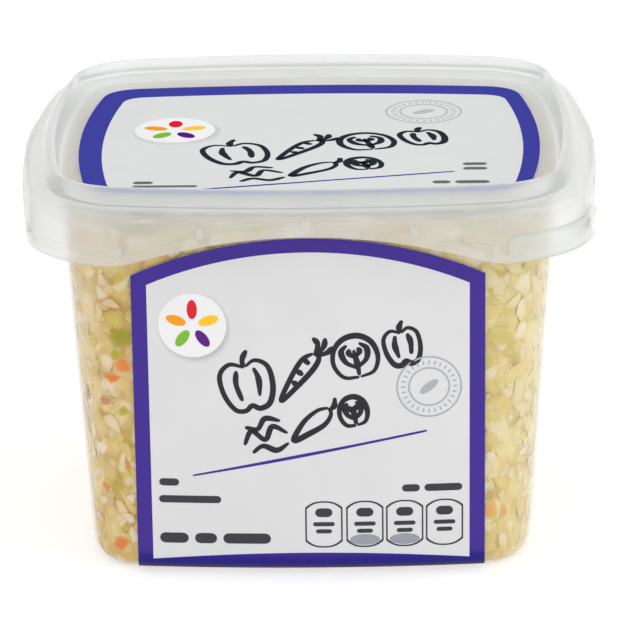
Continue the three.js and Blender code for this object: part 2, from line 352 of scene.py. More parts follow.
@dataclass(frozen=True)
class SoftShade:
    """The soft printed shade round a sticker, darkest at its middle."""

    name: str
    centre: tuple[float, float, float]
    inner: float
    outer: float
    shade: Colour
    ground: Colour

    def make(self) -> bpy.types.Material:
        """Builds the material from the distance to the centre."""
        paint = Paint(self.name)
        place = paint.node("TexCoord")
        middle = tuple(value * MM for value in self.centre)
        away = paint.node("VectorMath")
        away.operation = "DISTANCE"
        away.inputs[1].default_value = middle
        paint.link(place.outputs["Object"], away.inputs[0])
        share = paint.node("MapRange", From_Min=self.inner * MM, From_Max=self.outer * MM)
        paint.link(away.outputs["Value"], share.inputs["Value"])
        return paint.skin(paint.ramp(share.outputs[0], ((0.0, self.shade), (1.0, self.ground))), 0.4)


@dataclass(frozen=True)
class Dressing:
    """The thin creamy dressing and fine pulp between the pieces."""

    name: str
    deep: Colour
    middle: Colour
    light: Colour
    green: Colour
    # painted shade and painted light: multipliers for a darker, more golden -X side and a lighter, cooler +X
    # side
    shaded_side_tint: Colour = (0.87, 0.87, 0.85)
    lit_side_tint: Colour = (0.83, 0.92, 1.02)
    # painted light: a light cream blended in towards the +X side
    lit_side_colour: Colour = linear(230, 204, 144)
    lit_side_share: float = 0.4
    reach: float = 0.045
    gloss: float = 0.15

    def lit_across_x(self, paint: Paint, colour: Socket) -> Socket:
        """Paints light and shade across X: darker and more golden to the -X side as painted shade, lighter
        and paler to the +X side as painted light.
        """
        # painted light and shade: the colour is lightened towards +X and darkened towards -X
        share = paint.span("X", -self.reach, self.reach)
        lit_colour = paint.blend(paint.math("MULTIPLY", share, self.lit_side_share), colour, self.lit_side_colour)
        side_light = paint.blend(share, self.shaded_side_tint, self.lit_side_tint)
        return paint.blend(1.0, lit_colour, side_light, "MULTIPLY")

    def colour(self, paint: Paint) -> Socket:
        """Adds the dressing's colour to a material: blotches of gold and cream and wider green ones."""
        cream = paint.ramp(paint.noise(190.0), ((0.36, self.deep), (0.5, self.middle), (0.64, self.light)))
        wide = paint.node("MapRange", From_Min=0.54, From_Max=0.7, To_Max=0.7)
        paint.link(paint.noise(85.0), wide.inputs["Value"])
        return paint.blend(wide.outputs[0], cream, self.green)

    def make(self) -> bpy.types.Material:
        """Builds the material."""
        paint = Paint(self.name)
        # the dressing's colour carries painted light and shade across X
        return paint.skin(self.lit_across_x(paint, self.colour(paint)), 0.4, 1.38, self.gloss,
                          paint.bump(paint.noise(420.0), 0.25, 0.0002))


@dataclass(frozen=True)
class MoistFlesh:
    """Cut vegetable in dressing: each piece's own tint, soaked in blotches and towards its rim."""

    name: str
    dressing: Dressing
    soak_share: float
    roughness: float = 0.34

    def make(self) -> bpy.types.Material:
        """Builds the material around the mesh's own tints, whose alpha says how dry the piece is there."""
        paint = Paint(self.name)
        tint = paint.node("Attribute")
        tint.attribute_name = "tint"
        soaked = paint.node("MapRange", From_Min=0.45, From_Max=0.7, To_Min=1.0, To_Max=1.0 - self.soak_share)
        paint.link(paint.noise(330.0, 2.0), soaked.inputs["Value"])
        dry = paint.math("MULTIPLY", soaked.outputs[0], tint.outputs["Alpha"])
        colour = paint.blend(dry, self.dressing.colour(paint), tint.outputs["Color"])
        # the pieces carry the same painted light and shade across X as the dressing
        return paint.skin(self.dressing.lit_across_x(paint, colour), self.roughness, 1.4, self.dressing.gloss,
                          paint.bump(paint.noise(460.0), 0.25, 0.0002))


DRESSING = Dressing("slaw_dressing", linear(194, 148, 66), linear(216, 181, 110), linear(234, 209, 156),
                    linear(200, 178, 66))
CLEAR = SheerPlastic("clear_plastic", (0.995, 0.995, 0.985), 0.008, 0.75, 0.12, least_gloss=0.015,
                     edge_power=2.0)
TAB = SheerPlastic("tab_plastic", (0.99, 0.995, 0.995), 0.16, 0.24, 0.3, blur=0.5, blur_index=1.03,
                   wave_scale=110.0, body=(0.85, 0.86, 0.855))
FROSTED = SheerPlastic("frosted_plastic", (0.99, 0.995, 0.995), 0.33, 0.62, 0.26, blur=0.5, blur_index=1.06,
                       wave_scale=110.0)
LABEL_WHITE = linear(212, 212, 213)
FILM = PrintedFilm("label_film", LABEL_WHITE)
LID_FILM = PrintedFilm("lid_label_film", linear(209, 211, 210), specular=0.1)
# painted shade: the border darkens towards its foot where the label curves under
VIOLET = PrintedFilm("violet_print", linear(62, 41, 138),
                     foot_shade_colours=(linear(4, 0, 78), linear(24, 6, 116), linear(38, 18, 128)))
LID_VIOLET = PrintedFilm("blue_violet_print", linear(62, 64, 153), specular=0.0)
INK = PrintedFilm("dark_ink", linear(40, 40, 44))
LID_INK = PrintedFilm("lid_ink", linear(40, 44, 52), specular=0.0)
GREY_INK = PrintedFilm("grey_ink", linear(168, 170, 174))
LENS_INK = PrintedFilm("lens_grey_ink", linear(148, 149, 158))
BAR_INK = PrintedFilm("bar_ink", linear(58, 58, 62))
STICKER = PrintedFilm("sticker_white", linear(229, 229, 229))


# Mesh making

def build(name: str, places: np.ndarray, faces: Iterable[Sequence[int]], material: bpy.types.Material,
          smooth: bool = True) -> bpy.types.Object:
    """Makes an object from places in millimetres.

    Args:
        name: The piece's name.
        places: Vertices, n by 3.
        faces: Vertex numbers of each face.
        material: Its finish.
        smooth: Whether the faces are shaded smooth.

    Returns:
        The new object, riding on the body.
    """
    mesh = bpy.data.meshes.new(name)
    mesh.from_pydata((np.asarray(places) * MM).tolist(), [], [list(map(int, face)) for face in faces])
    mesh.polygons.foreach_set("use_smooth", [smooth] * len(mesh.polygons))
    mesh.materials.append(material)
    mesh.update()
    piece = bpy.data.objects.new(name, mesh)
    bpy.context.scene.collection.objects.link(piece)
    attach(piece, BODY)
    LOG.info("%s: %d faces", name, len(mesh.polygons))
    return piece


def grid_faces(rows: int, columns: int, closed: bool) -> np.ndarray:
    """Lists the quads of a grid of vertices.

    Args:
        rows: Rows of vertices.
        columns: Vertices in a row.
        closed: Whether each row closes on itself.

    Returns:
        The quads, n by 4.
    """
    span = columns if closed else columns - 1
    row, column = np.meshgrid(np.arange(rows - 1), np.arange(span), indexing="ij")
    after = (column + 1) % columns
    low, high = row * columns, (row + 1) * columns
    return np.stack([low + column, low + after, high + after, high + column], axis=-1).reshape(-1, 4)


@dataclass(frozen=True)
class RoundedSquare:
    """A square with bulging sides and round corners; its half width is measured at mid-side."""

    half: float
    side: float
    corner: float
    side_steps: int = 26
    corner_steps: int = 16

    def points(self) -> np.ndarray:
        """Returns the ring's points, counter-clockwise from the middle of the +X side, n by 2."""
        offset = self.side - self.half
        reach = self.side - self.corner
        centre = (-2 * offset + math.sqrt(8 * reach * reach - 4 * offset * offset)) / 4
        sweep = math.atan2(centre, centre + offset)
        up = np.linspace(0.0, sweep, self.side_steps // 2 + 1)
        round_it = np.linspace(sweep, math.pi / 2 - sweep, self.corner_steps + 1)[1:-1]
        down = np.linspace(-sweep, 0.0, self.side_steps // 2 + 1)[:-1]
        first = np.stack([self.side * np.cos(up) - offset, self.side * np.sin(up)], axis=1)
        bend = centre + self.corner * np.stack([np.cos(round_it), np.sin(round_it)], axis=1)
        last = np.stack([-self.side * np.sin(down), self.side * np.cos(down) - offset], axis=1)
        quarter = np.concatenate([first, bend, last])
        turns = [np.array([[math.cos(t), math.sin(t)], [-math.sin(t), math.cos(t)]])
                 for t in (0.0, math.pi / 2, math.pi, 3 * math.pi / 2)]
        return np.concatenate([quarter @ turn for turn in turns])


def normals(ring: np.ndarray) -> np.ndarray:
    """Returns the outward unit normals of a closed counter-clockwise ring, n by 2."""
    along = np.roll(ring, -1, axis=0) - np.roll(ring, 1, axis=0)
    out = np.stack([along[:, 1], -along[:, 0]], axis=1)
    return out / np.linalg.norm(out, axis=1, keepdims=True)


def fillet(corners: Sequence[tuple[float, float, float]], steps: int = 4) -> list[Point]:
    """Rounds the corners of a profile.

    Args:
        corners: Half width, height and rounding radius of each corner.
        steps: Points on each rounding beyond its first.

    Returns:
        The profile's points; a corner always gives the same number of points.
    """
    found: list[Point] = []
    for index, (half, height, radius) in enumerate(corners):
        here = Vector((half, height))
        if radius <= 0.0 or index in (0, len(corners) - 1):
            found.append((half, height))
            continue
        before = Vector(corners[index - 1][:2]) - here
        after = Vector(corners[index + 1][:2]) - here
        reach = min(radius, before.length * 0.49, after.length * 0.49)
        start = here + before.normalized() * reach
        end = here + after.normalized() * reach
        for step in range(steps + 1):
            t = step / steps
            spot = start * (1 - t) ** 2 + here * 2 * t * (1 - t) + end * t ** 2
            found.append((spot.x, spot.y))
    return found


def inside_out(places: np.ndarray, triangles: np.ndarray) -> bool:
    """Returns whether a closed skin's triangles, n by 3, face inwards."""
    first, second, third = (places[triangles[:, corner]] for corner in range(3))
    return float(np.einsum("ij,ij->", first, np.cross(second, third))) < 0.0


def closed_skin(rings: np.ndarray) -> tuple[np.ndarray, list[list[int]]]:
    """Joins rings into a closed skin, facing outwards, with its first and last rings capped round a hub.

    Args:
        rings: Vertices, rings by points by 3.

    Returns:
        The vertices and the faces.
    """
    count, around, _ = rings.shape
    places = np.concatenate([rings.reshape(-1, 3), rings[:1].mean(axis=1), rings[-1:].mean(axis=1)])
    quads = grid_faces(count, around, closed=True)
    here = np.arange(around)
    after = (here + 1) % around
    hub = np.full(around, count * around)
    edge = (count - 1) * around
    caps = np.stack([hub, after, here, hub + 1, edge + here, edge + after], axis=1).reshape(-1, 3)
    triangles = np.concatenate([quads[:, [0, 1, 2]], quads[:, [0, 2, 3]], caps])
    faces = quads.tolist() + caps.tolist()
    return places, [face[::-1] for face in faces] if inside_out(places, triangles) else faces


def thickened(faces: list[list[int]], count: int) -> list[list[int]]:
    """Closes a sheet with a copy of itself behind it.

    Args:
        faces: The front's faces.
        count: Vertices of the front; the back's follow them.

    Returns:
        The faces of front, back and rim.
    """
    seen = {(a, b) for face in faces for a, b in zip(face, face[1:] + face[:1])}
    rims = [[b, a, a + count, b + count] for a, b in seen if (b, a) not in seen]
    return faces + [[corner + count for corner in reversed(face)] for face in faces] + rims


def arched(radius: float, half: float, across: np.ndarray) -> np.ndarray:
    """Returns how far an arc stands above its own ends, at places across it.

    Args:
        radius: The arc's radius.
        half: Half its width.
        across: The places, from -half to half.

    Returns:
        The heights.
    """
    return np.sqrt(radius ** 2 - across ** 2) - math.sqrt(radius ** 2 - half ** 2)


# The tub's form, which the labels and the slaw follow

@dataclass(frozen=True)
class TubForm:
    """The drafted wall of the tub with its rounded lower edge."""

    base_half: float = 40.9
    slope: float = 0.0676
    side: float = 305.0
    base_corner: float = 9.6
    corner_growth: float = 0.14
    edge_radius: float = 3.7
    wall: float = 0.5
    floor: float = 0.6
    rim_top: float = 68.6
    side_steps: int = 40
    corner_steps: int = 24

    def edge_inset(self, height: np.ndarray) -> np.ndarray:
        """Returns how far the rounded lower edge draws the wall in at a height."""
        below = np.clip(self.edge_radius - height, 0.0, self.edge_radius)
        return self.edge_radius - np.sqrt(self.edge_radius ** 2 - below ** 2)

    def outline(self, height: float) -> RoundedSquare:
        """Returns the wall's outer outline at a height, without the lower edge's rounding."""
        return RoundedSquare(self.base_half + self.slope * height, self.side,
                             self.base_corner + self.corner_growth * height,
                             self.side_steps, self.corner_steps)

    def front(self, across: np.ndarray, height: np.ndarray, lift: float) -> np.ndarray:
        """Maps places on the front onto the wall.

        Args:
            across: X in millimetres.
            height: Z in millimetres.
            lift: How far off the wall.

        Returns:
            Places, n by 3.
        """
        drop = self.side - np.sqrt(self.side ** 2 - across ** 2)
        out = self.base_half + self.slope * height - self.edge_inset(height) - drop + lift
        return np.stack([across, -out, height], axis=-1)


class WallMap:
    """Maps a place along the perimeter, a height and a depth to the tub's wall, all in millimetres."""

    def __init__(self, form: TubForm) -> None:
        """Lays out the perimeter.

        Args:
            form: The tub's form.
        """
        self.form = form
        self.top = form.rim_top
        self.low_ring = form.outline(0.0).points()
        self.high_ring = form.outline(self.top).points()
        self.low_out = normals(self.low_ring)
        self.high_out = normals(self.high_ring)
        middle = (self.low_ring + self.high_ring) / 2
        step = np.linalg.norm(np.roll(middle, -1, axis=0) - middle, axis=1)
        self.stations = np.concatenate([[0.0], np.cumsum(step)])
        self.perimeter = float(self.stations[-1])

    def _along(self, table: np.ndarray, place: np.ndarray) -> np.ndarray:
        """Looks a closed ring's values up at places along the perimeter."""
        closed = np.concatenate([table, table[:1]])
        wrapped = np.mod(place, self.perimeter)
        return np.stack([np.interp(wrapped, self.stations, closed[:, axis]) for axis in (0, 1)], axis=-1)

    def at_bearing(self, bearing: float, height: float) -> float:
        """Returns the place along the perimeter at a bearing from +X in degrees, and at a height."""
        share = height / self.top
        ring = self.low_ring * (1 - share) + self.high_ring * share
        angles = np.degrees(np.unwrap(np.arctan2(ring[:, 1], ring[:, 0])))
        return float(np.interp(bearing, angles, self.stations[:-1]))

    def spot(self, place: np.ndarray, height: np.ndarray, depth: np.ndarray) -> np.ndarray:
        """Returns points in space.

        Args:
            place: Along the perimeter.
            height: Z.
            depth: Inwards from the outer wall.

        Returns:
            Points, with a last axis of 3.
        """
        share = np.clip(height / self.top, 0.0, 1.0)[..., None]
        ring = self._along(self.low_ring, place) * (1 - share) + self._along(self.high_ring, place) * share
        out = self._along(self.low_out, place) * (1 - share) + self._along(self.high_out, place) * share
        out = out / np.linalg.norm(out, axis=-1, keepdims=True)
        flat = ring - out * (depth + self.form.edge_inset(height))[..., None]
        return np.concatenate([flat, height[..., None]], axis=-1)


@dataclass
class Tub:
    """The clear tub: drafted wall, rounded lower edge and the rim that the lid sits on."""

    form: TubForm
    rim_half: float = 49.6
    rim_side: float = 226.0
    rim_corner: float = 21.0
    rim_thick: float = 0.9
    lip_drop: float = 1.4
    lip_thick: float = 0.7
    rim_reach: float = 3.4
    soft: float = 0.25
    edge_steps: int = 8
    wall_steps: int = 9

    def _edge(self, inset: float, floor: float) -> list[np.ndarray]:
        """Returns the rings of the rounded lower edge, from the flat up to the wall."""
        rings = []
        for step in range(self.edge_steps + 1):
            angle = step / self.edge_steps * math.pi / 2
            rise = self.form.edge_radius * (1 - math.cos(angle))
            ring = self.form.outline(rise).points()
            ring = ring - normals(ring) * (inset + self.form.edge_radius * (1 - math.sin(angle)))
            rings.append(self._lifted(ring, floor + rise))
        return rings

    def _lifted(self, ring: np.ndarray, height: float) -> np.ndarray:
        """Returns a flat ring at a height."""
        return np.column_stack([ring, np.full(len(ring), height)])

    def _wall(self, heights: Sequence[float], inset: float) -> list[np.ndarray]:
        """Returns rings of the wall, drawn in by an inset."""
        rings = []
        for height in heights:
            ring = self.form.outline(height).points()
            rings.append(self._lifted(ring - normals(ring) * inset, height))
        return rings

    def _rim(self, half: float, height: float) -> np.ndarray:
        """Returns one ring of the rim."""
        steps = self.form.side_steps, self.form.corner_steps
        ring = RoundedSquare(half, self.rim_side, self.rim_corner, *steps)
        return self._lifted(ring.points(), height)

    def make(self) -> bpy.types.Object:
        """Builds the tub's mesh and dresses it."""
        top, soft = self.form.rim_top, self.soft
        under = top - self.rim_thick
        lip = self.rim_half - self.lip_thick
        low = under - self.lip_drop
        heights = np.linspace(self.form.edge_radius, under - 1.0, self.wall_steps)[1:]
        rings = self._edge(0.0, 0.0) + self._wall(heights, 0.0) + self._wall([under - soft], 0.0)
        rings += [self._rim(self.rim_half - self.rim_reach, under), self._rim(lip - soft, under),
                  self._rim(lip, under - soft),
                  self._rim(lip, low + soft / 2), self._rim(lip + self.lip_thick / 2, low),
                  self._rim(self.rim_half, low + soft / 2), self._rim(self.rim_half, top - soft),
                  self._rim(self.rim_half - soft, top)]
        rings += self._wall([top], self.form.wall - soft) + self._wall([top - soft], self.form.wall)
        rings += self._wall(heights[::-1], self.form.wall)
        rings += self._edge(self.form.wall, self.form.floor)[::-1]
        places, faces = closed_skin(np.stack(rings))
        piece = build("tub_clear", places, faces, CLEAR.make())
        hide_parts("tub")
        return piece


@dataclass
class Lid:
    """The frosted lid: sunk panel, raised bead, sloping shoulder and arched skirt with its grooved band."""

    side: float = 226.0
    bead_half: float = 47.8
    bead_corner: float = 14.6
    skirt_half: float = 52.5
    skirt_corner: float = 21.0
    panel_top: float = 69.8
    panel_thick: float = 0.8
    panel_half: float = 45.7
    bead_top: float = 73.9
    bead_inner: float = 46.4
    foot_half: float = 48.9
    foot_z: float = 71.8
    shoulder_half: float = 51.75
    shoulder_z: float = 70.15
    mid_bottom: float = 66.7
    corner_bottom: float = 60.8
    arch_radius: float = 90.0
    band_height: float = 3.2
    groove: float = 0.65
    thick: float = 0.8
    foot_bead: float = 1.5
    side_steps: int = 48
    corner_steps: int = 28
    rib_places: tuple[float, ...] = (-32.9, -18.6, 0.0, 18.6, 32.9)
    rib_width: float = 1.3
    tab_front: float = 35.0
    tab_side: float = 28.5
    tab_thick: float = 1.0
    tab_low: float = 61.0
    tab_high: float = 65.7
    tab_round: float = 1.7

    def skirt_bottom(self, along: float) -> float:
        """Returns the height of the skirt's lower edge at a distance from mid-side."""
        arch = self.mid_bottom - along ** 2 / (2 * self.arch_radius)
        blend = 1.2
        high, low = max(arch, self.corner_bottom), min(arch, self.corner_bottom)
        gap = high - low
        return high + max(0.0, blend - gap) ** 2 / (4 * blend)

    def _profile(self, along: float) -> list[Point]:
        """Returns the section through the lid at a distance from mid-side, from panel top to underside."""
        foot = self.skirt_bottom(along)
        band = min(self.shoulder_z - 0.55, foot + self.band_height)
        groove_half = self.skirt_half - self.groove
        inner = groove_half - self.thick
        under = self.panel_top - self.panel_thick
        return fillet((
            (self.panel_half - 1.2, self.panel_top, 0.0),
            (self.panel_half, self.panel_top, 0.7),
            (self.bead_inner, self.bead_top, 0.6),
            (self.bead_half, self.bead_top, 0.6),
            (self.foot_half, self.foot_z, 1.0),
            (self.shoulder_half, self.shoulder_z, 0.9),
            (self.skirt_half - 0.25, band, 0.25),
            (groove_half, band - 0.25, 0.15),
            (groove_half, foot + self.foot_bead + 0.3, 0.15),
            (self.skirt_half, foot + self.foot_bead, 0.3),
            (self.skirt_half, foot, 0.35),
            (self.skirt_half - 1.0, foot, 0.35),
            (inner, foot + self.foot_bead + 0.2, 0.6),
            (inner, under + 0.2, 0.9),
            (self.foot_half - 0.6, self.foot_z - 0.95, 0.8),
            (self.panel_half + 0.9, under + 0.3, 0.7),
            (self.panel_half - 1.2, under, 0.0),
        ))

    def _rings(self, half: float) -> np.ndarray:
        """Returns the outline at a half width, drawn between the bead's and the skirt's outlines."""
        steps = self.side_steps, self.corner_steps
        bead = RoundedSquare(self.bead_half, self.side, self.bead_corner, *steps).points()
        skirt = RoundedSquare(self.skirt_half, self.side, self.skirt_corner, *steps).points()
        share = (half - self.bead_half) / (self.skirt_half - self.bead_half)
        return bead + (skirt - bead) * share

    def make(self) -> list[bpy.types.Object]:
        """Builds the lid with its ribs and tab and dresses them."""
        finish = FROSTED.make()
        bead = self._rings(self.bead_half)
        skirt = self._rings(self.skirt_half)
        spread = (skirt - bead) / (self.skirt_half - self.bead_half)
        along = np.minimum(np.abs(skirt[:, 0]), np.abs(skirt[:, 1]))
        sections = np.array([self._profile(float(value)) for value in along])
        flat = bead[None] + spread[None] * (sections[:, :, 0].T - self.bead_half)[..., None]
        rings = np.concatenate([flat, sections[:, :, 1].T[..., None]], axis=-1)
        places, faces = closed_skin(rings[::-1])
        lid = build("lid_frosted", places, faces, finish)
        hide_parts("lid")
        return [lid, self._ribs(finish), self._tab(TAB.make())]

    def _ribs(self, finish: bpy.types.Material) -> bpy.types.Object:
        """Builds the ribs that cross the groove on each side."""
        places: list[np.ndarray] = []
        faces: list[list[int]] = []
        face_out = self.skirt_half - 0.12
        back = self.skirt_half - self.groove - 0.3
        for quarter in range(4):
            turn = np.array(Matrix.Rotation(quarter * math.pi / 2, 3, "Z"))
            for place in self.rib_places:
                low = self.skirt_bottom(abs(place)) + self.foot_bead - 0.1
                high = min(self.shoulder_z - 0.6, self.skirt_bottom(abs(place)) + self.band_height)
                drop = self.side - math.sqrt(self.side ** 2 - place ** 2)
                half = self.rib_width / 2
                ring = np.array([(-half, back), (-half, face_out - 0.2), (-half * 0.55, face_out),
                                 (half * 0.55, face_out), (half, face_out - 0.2), (half, back)])
                start = sum(len(block) for block in places)
                block = [(place + x, -(y - drop), z) for z in (low, high) for x, y in ring]
                places.append(np.array(block) @ turn.T)
                count = len(ring)
                for i in range(count):
                    after = (i + 1) % count
                    faces.append([start + i, start + after, start + count + after, start + count + i])
                faces.append([start + i for i in reversed(range(count))])
                faces.append([start + count + i for i in range(count)])
        ribs = build("lid_ribs", np.concatenate(places), faces, finish, smooth=False)
        return ribs

    def _tab(self, finish: bpy.types.Material) -> bpy.types.Object:
        """Builds the lift tab that hugs the skirt round the front right corner."""
        ring = RoundedSquare(self.skirt_half, self.side, self.skirt_corner, 160, 120).points()
        out = normals(ring)
        chosen = np.nonzero((ring[:, 0] > self.tab_front) & (ring[:, 1] < -self.tab_side))[0]
        ring, out = ring[chosen], out[chosen]
        run = np.concatenate([[0.0], np.cumsum(np.linalg.norm(np.diff(ring, axis=0), axis=1))])
        near = np.clip(np.minimum(run, run[-1] - run) / self.tab_round, 0.02, 1.0)
        round_in = self.tab_round * (1 - np.sqrt(1 - (1 - near) ** 2))
        middle, half = (self.tab_low + self.tab_high) / 2, (self.tab_high - self.tab_low) / 2
        upper = ((-0.5, 1.0), (0.3, 1.0), (0.75, 0.96), (1.0, 0.84))
        section = (*upper, *((off, -level) for off, level in reversed(upper)))
        rings = []
        for spot, away, ease, cut in zip(ring, out, near ** 0.5, round_in):
            rows = [(*(spot + away * self.tab_thick * off * (ease if off > 0 else 1.0)),
                     middle + (half - cut) * level) for off, level in section]
            rings.append(rows[::-1])
        places, faces = closed_skin(np.array(rings))
        tab = build("lid_tab", places, faces, finish)
        return tab


# Prints

Mapping = Callable[[np.ndarray, float], np.ndarray]


@dataclass
class PrintSheet:
    """A label's face, on which shapes drawn flat are laid as thin prints."""

    name: str
    place: Mapping
    slot: str
    film_top: float
    cut_every: float = 2.5
    level_cuts: tuple[float, ...] = ()
    ink_thick: float = 0.03

    def lay(self, name: str, loops: Sequence[Sequence[Point]], material: bpy.types.Material,
            layer: int = 1) -> bpy.types.Object:
        """Fills closed loops and lays them on the label as one thin closed piece.

        Args:
            name: The piece's name.
            loops: Closed loops of points, where a loop inside another is a hole.
            material: Its finish.
            layer: How many prints deep it lies.

        Returns:
            The print.
        """
        flat = bmesh.new()
        for loop in loops:
            corners = [flat.verts.new((x, y, 0.0)) for x, y in loop]
            for first, second in zip(corners, corners[1:] + corners[:1]):
                flat.edges.new((first, second))
        bmesh.ops.triangle_fill(flat, edges=flat.edges[:], use_beauty=True, use_dissolve=False,
                                normal=(0.0, 0.0, 1.0))
        wide = [vert.co.x for vert in flat.verts]
        cuts = [((0.0, level, 0.0), (0.0, 1.0, 0.0)) for level in self.level_cuts]
        if self.cut_every > 0.0:
            first, last = math.ceil(min(wide) / self.cut_every), math.floor(max(wide) / self.cut_every)
            cuts += [((step * self.cut_every, 0.0, 0.0), (1.0, 0.0, 0.0)) for step in range(first, last + 1)]
        for spot, direction in cuts:
            bmesh.ops.bisect_plane(flat, geom=flat.verts[:] + flat.edges[:] + flat.faces[:], dist=1e-5,
                                   plane_co=spot, plane_no=direction)
        flat.verts.index_update()
        drawn = np.array([vert.co[:2] for vert in flat.verts])
        faces = []
        for face in flat.faces:
            corners = [vert.index for vert in face.verts]
            faces.append(corners if face.normal.z > 0 else corners[::-1])
        flat.free()
        return self._raise(name, drawn, faces, material, layer)

    def _raise(self, name: str, drawn: np.ndarray, faces: list[list[int]], material: bpy.types.Material,
               layer: int) -> bpy.types.Object:
        """Turns a flat drawing into a thin closed print on the label."""
        top = self.place(drawn, self.film_top + self.ink_thick * layer)
        low = self.place(drawn, self.film_top - self.ink_thick)
        piece = build(f"{self.name}_{name}", np.concatenate([top, low]), thickened(faces, len(drawn)),
                      material, smooth=False)
        return piece

    def lay_ribbons(self, name: str, ribbons: Sequence[tuple[np.ndarray, np.ndarray]],
                    material: bpy.types.Material, layer: int = 1) -> bpy.types.Object:
        """Lays brush strokes as strips.

        Args:
            name: The piece's name.
            ribbons: Left and right edges of each stroke, each n by 2.
            material: Their finish.
            layer: How many prints deep they lie.

        Returns:
            The print.
        """
        drawn: list[np.ndarray] = []
        faces: list[list[int]] = []
        start = 0
        for left, right in ribbons:
            count = len(left)
            drawn += [left, right]
            for i in range(count - 1):
                faces.append([start + i, start + count + i, start + count + i + 1, start + i + 1])
            start += 2 * count
        return self._raise(name, np.concatenate(drawn), faces, material, layer)


def smooth_path(knots: Sequence[Point], closed: bool = False, steps: int = 8) -> np.ndarray:
    """Draws a smooth line through knots.

    Args:
        knots: The points it passes.
        closed: Whether it ends where it starts.
        steps: Points between two knots.

    Returns:
        The line's points, n by 2.
    """
    base = np.array(knots, dtype=float)
    if closed:
        padded = np.concatenate([base[-1:], base, base[:2]])
    else:
        padded = np.concatenate([base[:1] * 2 - base[1:2], base, base[-1:] * 2 - base[-2:-1]])
    found = []
    for i in range(1, len(padded) - 2):
        before, here, after, later = padded[i - 1:i + 3]
        for t in np.linspace(0.0, 1.0, steps, endpoint=False):
            square = (2 * before - 5 * here + 4 * after - later) * t ** 2
            cube = (3 * here - before - 3 * after + later) * t ** 3
            found.append(0.5 * (2 * here + (after - before) * t + square + cube))
    found.append(padded[-2])
    return np.array(found)


def brush(path: np.ndarray, width: float, thin_ends: float = 0.35) -> tuple[np.ndarray, np.ndarray]:
    """Gives a line the changing width of a brush stroke.

    Args:
        path: The line's points, n by 2.
        width: Width at its widest.
        thin_ends: Share of the width at the ends.

    Returns:
        The left and right edges.
    """
    along = np.gradient(path, axis=0)
    across = np.stack([-along[:, 1], along[:, 0]], axis=1)
    across /= np.maximum(np.linalg.norm(across, axis=1, keepdims=True), 1e-9)
    t = np.linspace(0.0, 1.0, len(path))
    swell = thin_ends + (1 - thin_ends) * np.sin(math.pi * np.clip(t, 0.0, 1.0)) ** 0.45
    sway = 0.9 + 0.1 * np.sin(t * 9.0 + path[0, 0])
    half = (width / 2 * swell * sway)[:, None]
    return path + across * half, path - across * half


def ellipse(centre: Point, wide: float, tall: float, count: int = 48, turn: float = 0.0) -> list[Point]:
    """Returns the points of an ellipse.

    Args:
        centre: Its middle.
        wide: Half its width.
        tall: Half its height.
        count: Points.
        turn: Radians it is turned.

    Returns:
        The points.
    """
    found = []
    for i in range(count):
        angle = 2 * math.pi * i / count
        x, y = wide * math.cos(angle), tall * math.sin(angle)
        found.append((centre[0] + x * math.cos(turn) - y * math.sin(turn),
                      centre[1] + x * math.sin(turn) + y * math.cos(turn)))
    return found


def bar(left: float, low: float, wide: float, tall: float) -> list[Point]:
    """Returns a bar with round ends, given its lower left corner and its size."""
    end = tall / 2
    right_cap = [(left + wide - end + end * math.sin(a), low + end - end * math.cos(a))
                 for a in np.linspace(0.0, math.pi, 7)]
    left_cap = [(left + end - end * math.sin(a), low + end + end * math.cos(a))
                for a in np.linspace(0.0, math.pi, 7)]
    return right_cap + left_cap


